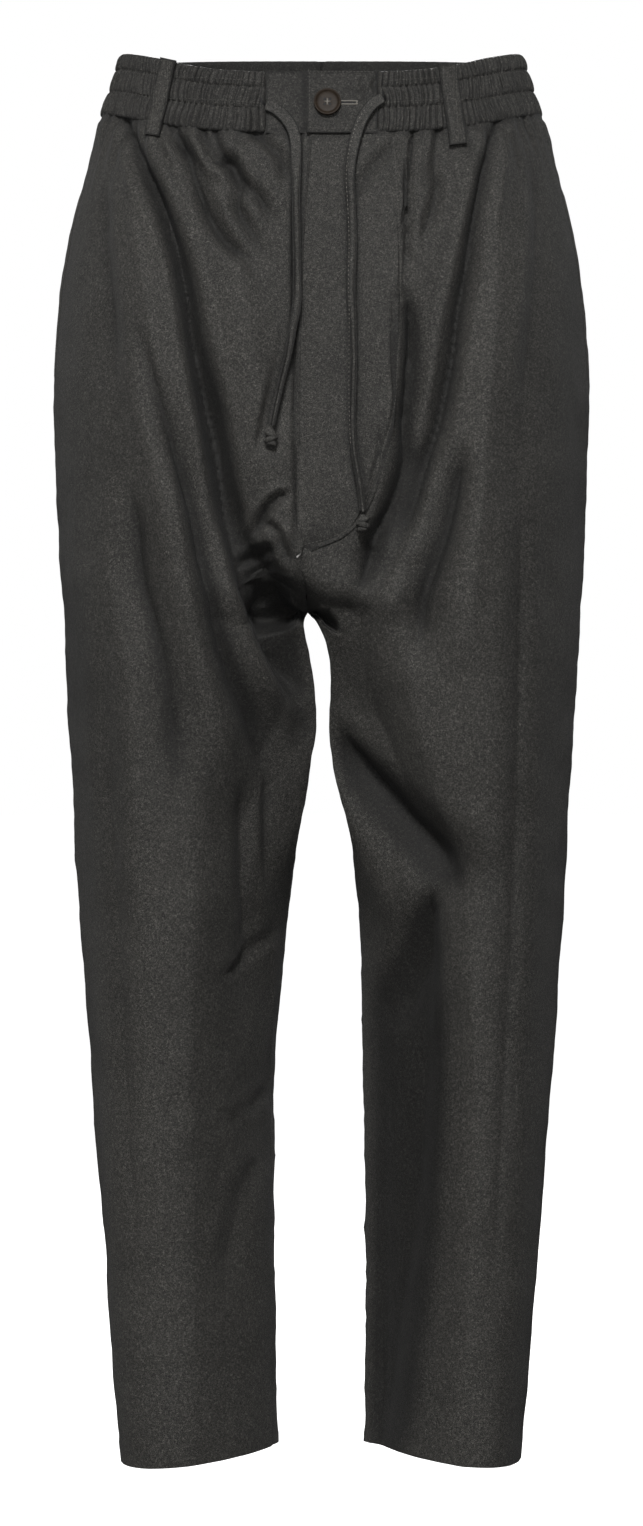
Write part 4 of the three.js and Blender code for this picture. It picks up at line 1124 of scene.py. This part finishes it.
def make_pocket_edge(side):
    """The folded edge of a side pocket, pressed flat on the hip."""
    node = "pocket_edge_" + side
    piece = copy_of(node, "cloth_" + node)
    places, lean, outside, _, _, edge_away = two_layers(piece, 0, POCKET_WALL)
    carriers = [PANELS["front_" + side], PANELS["back_" + side]]
    shift = laid_over(places, lean, outside, POCKET_WALL, carriers, -0.55)
    shift = smoothed(shift, piece, 3, keep_high=False)
    height = stitched_edge(edge_away, 3.0, 0.25) - 0.5 * ease(edge_away, 1.2, 0)
    put_places(piece, places + lean * (shift + height)[:, None])
    # Painted shade along the folded edge, and a little painted light beyond it.
    painted_shade = 0.6 * ease(1.1 - edge_away, 0, 1.0) - 0.2 * ease(edge_away, 1.2, 2.2)
    return sew_in(piece, node, outside, painted_shade)


# How much longer than its strip each loop hangs from its top, how far the top of each sits down behind, and
# how far each turns back towards upright.
LOOP_STRETCH = {"belt_loop_front_right": 1.08, "belt_loop_front_left": 1.14}
LOOP_LOWERED = {"belt_loop_back_right": 2.6, "belt_loop_back_left": 2.6, "belt_loop_back_centre": 1.3}
LOOP_UPRIGHT = {"belt_loop_back_right": -0.6, "belt_loop_back_left": -0.6}


def loop_round(node, places):
    """How far round the waist a belt loop's points are, without the step at the middle of the back."""
    around = round_from_front(places[:, 0], places[:, 1])
    if node.endswith("centre"):
        around = np.where(around < 0, around + 2 * WAIST_HALF, around)
    return around


def make_loop(node, seed):
    """A belt loop: a folded strip stitched along both edges."""
    piece = copy_of(node, "cloth_" + node)
    places, lean, outside, over, _, edge_away = two_layers(piece, 0, LOOP_WALL)
    top = places[:, 2].max()
    part = (top - places[:, 2]) / (top - places[:, 2].min())
    around = loop_round(node, places)
    middle_top = around[part < 0.08].mean()
    middle_foot = around[part > 0.92].mean()
    off_middle = around - (middle_top + (middle_foot - middle_top) * part)
    tangent = unit(np.stack([-lean[:, 1], lean[:, 0], np.zeros(len(places))], axis=1))
    slant = (middle_foot - middle_top) * (part - 0.5)
    places += tangent * (0.16 * off_middle + LOOP_UPRIGHT.get(node, 0.0) * slant)[:, None]
    places[:, 2] = top - (top - places[:, 2]) * LOOP_STRETCH.get(node, 1.05)
    places[:, 2] -= LOOP_LOWERED.get(node, 0.0) * ease(part, 0.4, 0)
    height = stitched_edge(edge_away, 1.9, 0.45) + rumple(over, seed, 24, 8, 0.16)
    height += 1.6 * ease(part, 0.62, 0.86) * ease(part, 1.02, 0.97) + 0.5 * ease(part, 0.9, 1)
    places = places + lean * height[:, None]
    settle_waist(places)
    raised = keep_above(places, lean, outside, BANDS + FLAT_BANDS + list(PANELS.values()))
    put_places(piece, places + lean * smoothed(raised, piece, 4)[:, None])
    # Painted shade along the loop's edges, and a little painted light between them.
    painted_shade = 0.95 * ease(1.7 - edge_away, 0, 1.4) - 0.2 * ease(edge_away, 1.8, 2.6)
    return sew_in(piece, node, outside, painted_shade)


BANDS = [make_band_half("right"), make_band_half("left")]
FLAT_BANDS = [make_flat_band("waistband_underlap", 5), make_flat_band("waistband_overlap", 6)]
LOOPS = {node: make_loop(node, 60 + number) for number, node in enumerate(LOOP_NODES)}
PLACKET = make_placket()
POCKET_EDGES = [make_pocket_edge("right"), make_pocket_edge("left")]


# Button, stitches and bar tack.


def model_stroke():
    """One stroke of thread, 1 mm from its middle every way, its length along x: its points and faces."""
    bpy.ops.object.select_all(action="DESELECT")
    quarter = math.radians(90)
    bpy.ops.mesh.primitive_uv_sphere_add(segments=8, ring_count=6, radius=MM, rotation=(0, quarter, 0))
    stroke = bpy.context.object
    bpy.ops.object.transform_apply(location=False, rotation=True, scale=True)
    points = places_of(stroke)
    faces = [tuple(face.vertices) for face in stroke.data.polygons]
    bpy.data.objects.remove(stroke)
    return points, faces


STROKE_POINTS, STROKE_FACES = model_stroke()


def strokes(name, rows, material):
    """Copies of the one stroke, joined: each row gives a middle, the way along, the way up, and the half
    length, half width and half thickness, in millimetres."""
    points = []
    faces = []
    for middle, along, up, size in rows:
        along = along / np.linalg.norm(along)
        up = up - along * up.dot(along)
        up /= np.linalg.norm(up)
        across = np.cross(up, along)
        shaped = STROKE_POINTS * np.array(size)
        base = len(points)
        turned = shaped[:, :1] * along + shaped[:, 1:2] * across + shaped[:, 2:] * up
        points += list((middle + turned) * MM)
        faces += [tuple(base + corner for corner in face) for face in STROKE_FACES]
    piece = new_piece(name, points, faces)
    finish_piece(piece, material)
    return piece


def laid_line(starts, ways, carriers, step):
    """Where a row seen along the ways lies on the pieces under it: places and ways up, in equal steps."""
    surfaces = [surface_of(carrier) for carrier in carriers]
    places = []
    ups = []
    for start, way in zip(starts, ways):
        best = first_hit(surfaces, Vector(start) * MM, Vector(way), 70 * MM)
        if best is not None:
            up = np.array(best[2])
            places.append(np.array(best[1]) / MM)
            ups.append(up if up.dot(way) < 0 else -up)
    if len(places) < 3:
        return np.zeros((0, 3)), np.zeros((0, 3))
    places = np.array(places)
    ups = np.array(ups)
    gone = np.concatenate([[0], np.cumsum(np.linalg.norm(np.diff(places, axis=0), axis=1))])
    wanted = np.arange(step / 2, gone[-1], step)
    at = np.stack([np.interp(wanted, gone, places[:, axis]) for axis in range(3)], axis=1)
    up = np.stack([np.interp(wanted, gone, ups[:, axis]) for axis in range(3)], axis=1)
    return at, up


def front_row(line, carriers, step):
    """A row on the front, its line given in x and z."""
    line = fine_line(line, LINE_STEP)
    starts = [(x, IN_FRONT, z) for x, z in line]
    return laid_line(starts, [np.array([0.0, 1.0, 0.0])] * len(line), carriers, step)


def waist_row(line, carriers, step):
    """A row on the waistband, its line given as how far round from the front's middle, and the height."""
    line = fine_line(line, LINE_STEP)
    turns = np.linspace(0, math.pi, 361)
    gone = np.abs(round_from_front(BAND_HALF_WIDTH * np.sin(turns), -BAND_HALF_DEPTH * np.cos(turns)))
    starts = []
    ways = []
    for around, height in line:
        around = around - 2 * WAIST_HALF if around > WAIST_HALF else around
        turn = math.copysign(np.interp(abs(around), gone, turns), around)
        place = np.array([BAND_HALF_WIDTH * math.sin(turn), -BAND_HALF_DEPTH * math.cos(turn), 0.0])
        out = away_from_middle(place[None])[0]
        starts.append(place + out * 22 + np.array([0, 0, height]))
        ways.append(-out)
    return laid_line(starts, ways, carriers, step)


def side_row(line, side, carriers, step):
    """A row on the hip, its line given in y and z."""
    sign = 1 if side == "left" else -1
    line = fine_line(line, LINE_STEP)
    starts = [(sign * 225, y, z) for y, z in line]
    return laid_line(starts, [np.array([-sign * 1.0, 0.0, 0.0])] * len(line), carriers, step)


def stitches_on(row, length, width, seed):
    """Stitches along a laid row, each a little uneven."""
    at, up = row
    dice = random.Random(seed)
    result = []
    if len(at) < 2:
        return result
    along = np.gradient(at, axis=0)
    for index in range(len(at)):
        turn = along[index] + np.cross(up[index], along[index]) * dice.uniform(-0.10, 0.10)
        size = (length / 2 * dice.uniform(0.85, 1.1), width / 2, width / 2 * 0.8)
        result.append((at[index] + up[index] * width * 0.18, turn, up[index], size))
    return result


def left_edge(piece, heights, inset):
    """A line beside a piece's edge at the picture's left."""
    places = places_of(piece)
    line = []
    for height in heights:
        near = places[np.abs(places[:, 2] - height) < 1.6]
        line.append((near[:, 0].min() + inset, height))
    return line


def make_button():
    """A turned brown button with a rolled rim and four holes, seated on the overlap, and its thread."""
    faces = surface_of(FLAT_BANDS[1])
    seats = []
    for z in (BUTTON_Z + 8, BUTTON_Z, BUTTON_Z - 8):
        seats.append(faces.ray_cast(Vector((BUTTON_X, IN_FRONT, z)) * MM, Vector((0, 1, 0)))[0] / MM)
    tilt = math.atan2(seats[0].y - seats[2].y, seats[0].z - seats[2].z)
    bpy.ops.object.select_all(action="DESELECT")
    bpy.ops.mesh.primitive_cylinder_add(vertices=72, radius=BUTTON_RADIUS * MM, depth=BUTTON_THICK * MM)
    button = bpy.context.object
    bpy.ops.object.mode_set(mode="EDIT")
    bpy.ops.mesh.select_all(action="DESELECT")
    bpy.ops.object.mode_set(mode="OBJECT")
    for face in button.data.polygons:
        face.select = face.normal.z > 0.9
    bpy.ops.object.mode_set(mode="EDIT")
    for inset, sink in ((0.7, 0.0), (0.75, -0.25), (0.6, -0.75), (1.6, -0.2), (2.6, 0.1)):
        bpy.ops.mesh.inset(thickness=inset * MM, depth=sink * MM)
    bpy.ops.object.mode_set(mode="OBJECT")
    apply_modifier(
        button, "BEVEL", width=0.62 * MM, segments=4, limit_method="ANGLE", angle_limit=math.radians(28),
    )
    drills = []
    for x, z in ((-1, -1), (1, -1), (1, 1), (-1, 1)):
        bpy.ops.object.select_all(action="DESELECT")
        bpy.ops.mesh.primitive_cylinder_add(
            vertices=24, radius=HOLE_RADIUS * MM, depth=12 * MM,
            location=(x * HOLE_ASIDE * MM, z * HOLE_ABOVE * MM, 0),
        )
        drills.append(bpy.context.object)
    for drill in drills:
        apply_modifier(button, "BOOLEAN", operation="DIFFERENCE", object=drill, solver="EXACT")
        bpy.data.objects.remove(drill)
    button.name = "fly_button"
    button.rotation_euler = (math.radians(90) - tilt, 0, 0)
    out = np.array([0.0, -math.cos(tilt), math.sin(tilt)])
    middle = np.array(seats[1]) + out * 1.7
    button.location = Vector(middle) * MM
    only(button)
    bpy.ops.object.transform_apply(location=True, rotation=True, scale=True)
    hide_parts("button")
    finish_piece(button, BROWN_HORN, angle=40)
    down = np.array([0.0, out[2], -out[1]])
    side_way = np.array([1.0, 0.0, 0.0])
    on_top = middle + out * 0.62
    cross = [
        (on_top + side_way * 0.26, down, out, (2.5, 0.22, 0.3)),
        (on_top - side_way * 0.28, down, out, (2.4, 0.22, 0.3)),
        (on_top + down * 0.25, side_way, out, (2.3, 0.2, 0.3)),
        (on_top - down * 0.27, side_way, out, (2.2, 0.2, 0.3)),
    ]
    # Painted shade: a dark disc inside each hole.
    in_holes = []
    for right in (-1, 1):
        for low in (-1, 1):
            deep = middle + out * 0.05 + side_way * HOLE_ASIDE * right + down * HOLE_ABOVE * low
            in_holes.append((deep, down, out, (0.92, 0.92, 0.12)))
    strokes("button_thread", cross, PALE_THREAD)
    strokes("button_hole_shade", in_holes, SHADE)


def along_row(row, size):
    """Strokes end to end along a laid row."""
    at, up = row
    return [(place, way, lift, size) for place, way, lift in zip(at, np.gradient(at, axis=0), up)]


def across_row(row, lifted, size):
    """Strokes side by side across a laid row, a little above the cloth."""
    return [(place + lift * lifted, np.cross(lift, way), lift, size)
            for place, way, lift, _ in along_row(row, size)]


def make_buttonhole():
    """The buttonhole beside the button: pale stitches close together round a slit of dark strokes, painted
    shade.
    """
    left, right, height, half = 3.0, 23.9, BUTTON_Z, 1.1
    outline = [(left, height + half), (right - 1, height + half), (right, height + 0.5),
               (right, height - 0.5), (right - 1, height - half), (left, height - half)]
    rows = across_row(front_row(outline, [FLAT_BANDS[1]], 0.5), 0.08, (0.42, 0.27, 0.26))
    slit_row = front_row([(left, height), (right - 1.2, height)], [FLAT_BANDS[1]], 1.2)
    slit = along_row(slit_row, (1.2, 0.5, 0.12))
    return strokes("buttonhole", rows, PALE_THREAD), strokes("buttonhole_slit_shade", slit, SHADE)


def make_tie_slots():
    """Painted shade in the slots in the waistband that the ties come out of: dark strokes where the openings
    are.
    """
    rows = []
    for line, half_width in (
        ([(-41.5, -18.5), (-39.5, -21), (-36.5, -23)], 1.1),
        ([(36.5, -19.5), (40.5, -17.8), (44, -17)], 1.9),
    ):
        rows += along_row(front_row(line, BANDS + FLAT_BANDS, 1.5), (1.7, half_width, 0.15))
    return strokes("tie_slot_shade", rows, SHADE)


def make_bar_tack():
    """The white bar tack at the foot of the fly: six close strokes on a slant."""
    carriers = [PLACKET, PANELS["front_right"], PANELS["front_left"]]
    rows = across_row(front_row([(-16.6, -330.4), (-14.0, -327.8)], carriers, 0.55), 0.3, (0.62, 0.27, 0.3))
    return strokes("bar_tack", rows, WHITE_THREAD)


def make_fly_stitches():
    """The top-stitching of the overlap and of the fly's facing."""
    overlap = [FLAT_BANDS[1]]
    edge = [(-7.8, -38.5), (-8.1, -20), (-7.9, 0.2), (-6.6, 1.2), (36, 1.0)]
    rows = stitches_on(front_row(edge, overlap, 2.5), 1.7, STITCH, 1)
    rows += stitches_on(front_row([(-6.8, -38.2), (36, -38.2)], overlap, 2.5), 1.7, STITCH, 2)
    free_edge = left_edge(PLACKET, range(-46, -322, -12), 2.2)
    rows += stitches_on(front_row(free_edge, [PLACKET], 2.6), 1.8, STITCH, 3)
    curve = [(49, -44), (52.6, -110), (53.6, -180), (51.2, -217), (43.9, -250), (32.2, -287), (22.5, -308),
             (6, -317), (-12, -322)]
    rows += stitches_on(front_row(curve, [PLACKET], 2.6), 1.8, 0.46, 4)
    return strokes("fly_stitches", rows, DARK_THREAD)


def make_band_stitches():
    """The two rows that hold the gathers of the waistband."""
    rows = []
    for sign in (-1, 1):
        for number, row in enumerate(BAND_ROWS):
            line = []
            for around in range(42, 474, 12):
                turn_y = np.interp(around, [0, 120, 240, 360, 480], [-112, -84, 6, 88, 112])
                line.append((sign * around, float(BAND_TOP + waist_level(np.array(turn_y)) - row)))
            rows += stitches_on(waist_row(line, BANDS, 3.0), 2.2, 0.4, 10 + number)
    return strokes("waistband_stitches", rows, DARK_THREAD)


def make_loop_stitches():
    """Two rows down every belt loop, and a bar tack at its foot."""
    rows = []
    for number, (node, loop) in enumerate(LOOPS.items()):
        places = places_of(loop)
        top = places[:, 2].max()
        foot = places[:, 2].min()
        around = loop_round(node, places)
        upper = around[places[:, 2] > top - 3].mean()
        at_foot = around[places[:, 2] < foot + 3]
        lower = at_foot.mean()
        half = 0.5 * (at_foot.max() - at_foot.min()) - 1.7
        for off in (-half, half):
            line = [(upper + off, top - 2), (lower + off, foot + 1.5)]
            rows += stitches_on(waist_row(line, [loop], 2.4), 1.7, STITCH, 20 + number)
        line = [(lower - half, foot + 2.2), (lower + half, foot + 2.2)]
        rows += stitches_on(waist_row(line, [loop], 0.9), 0.8, STITCH, 30 + number)
    return strokes("belt_loop_stitches", rows, DARK_THREAD)


def make_pocket_stitches():
    """A row beside the folded edge of each side pocket."""
    rows = []
    for number, side in enumerate(("right", "left")):
        piece = POCKET_EDGES[number]
        places = places_of(piece)
        line = []
        for height in range(-75, -200, -8):
            near = places[np.abs(places[:, 2] - height) < 3]
            line.append((near[:, 1].min() + 3.0, height))
        rows += stitches_on(side_row(line, side, [piece], 2.6), 1.8, 0.45, 40 + number)
    return strokes("pocket_stitches", rows, DARK_THREAD)


def make_tie_stitches():
    """The row that closes the left tie, where it lies open."""
    line = [(x - 2.3, z) for x, _, z in TIE_ROUTES["left"] if -262 < z < -24]
    rows = stitches_on(front_row(line, [TIES["left"]], 3.0), 1.3, STITCH, 50)
    strokes("tie_stitches", rows, PALE_THREAD)


make_button()
BUTTONHOLE, BUTTONHOLE_SLIT = make_buttonhole()
TIE_SLOTS = make_tie_slots()
BAR_TACK = make_bar_tack()
FLY_STITCHES = make_fly_stitches()
BAND_STITCHES = make_band_stitches()
LOOP_STITCHES = make_loop_stitches()
POCKET_STITCHES = make_pocket_stitches()
make_tie_stitches()


# Stage.


def add_floor():
    """A plain pale floor that keeps its light off the garment."""
    bpy.ops.object.select_all(action="DESELECT")
    bpy.ops.mesh.primitive_plane_add(size=160, location=(0, 0, FLOOR_Z))
    floor = bpy.context.object
    floor.name = "floor"
    material, _, shader = empty_material("pale floor")
    shader.inputs["Base Color"].default_value = (0.45, 0.45, 0.45, 1)
    shader.inputs["Roughness"].default_value = 0.9
    shader.inputs["Emission Color"].default_value = (1, 1, 1, 1)
    shader.inputs["Emission Strength"].default_value = 1.0
    floor.data.materials.append(material)
    floor.visible_diffuse = False
    floor.visible_glossy = False


def add_light(name, place, aim, size, power):
    """A soft square light."""
    lamp = bpy.data.lights.new(name, "AREA")
    lamp.shape = "SQUARE"
    lamp.size = size
    lamp.energy = power
    light = bpy.data.objects.new(name, lamp)
    light.location = place
    light.rotation_euler = (Vector(aim) - Vector(place)).to_track_quat("-Z", "Y").to_euler()
    light.visible_camera = False
    scene.collection.objects.link(light)


def add_world():
    """White behind the garment, and a weak grey light from all round."""
    world = bpy.data.worlds.new("studio")
    scene.world = world
    world.use_nodes = True
    tree = world.node_tree
    tree.nodes.clear()
    seen = add_node(tree, "ShaderNodeBackground", {"Color": (1, 1, 1, 1), "Strength": 1.0})
    fill = add_node(tree, "ShaderNodeBackground", {"Color": (1, 1, 1, 1), "Strength": 0.085})
    path = add_node(tree, "ShaderNodeLightPath")
    either = add_node(
        tree, "ShaderNodeMixShader",
        {0: path.outputs["Is Camera Ray"], 1: fill.outputs[0], 2: seen.outputs[0]},
    )
    result = add_node(tree, "ShaderNodeOutputWorld")
    tree.links.new(either.outputs[0], result.inputs[0])


add_floor()
add_world()
for light_row in (
    ("key", (-0.35, -5.4, 3.6), (0, 0, -0.45), 1.5, 288),
    ("front", (0.2, -6.6, -0.9), (0, 0, -0.55), 2.0, 99),
    ("behind", (0.6, 6.0, 2.4), (0, 0, -0.45), 1.8, 300),
    ("side right", (-4.8, 3.6, 1.5), (0, 0, -0.5), 1.6, 20),
    ("side left", (4.8, 3.6, 1.5), (0, 0, -0.5), 1.6, 20),
):
    add_light(*light_row)
scene.view_settings.view_transform = "Standard"
scene.view_settings.look = "None"
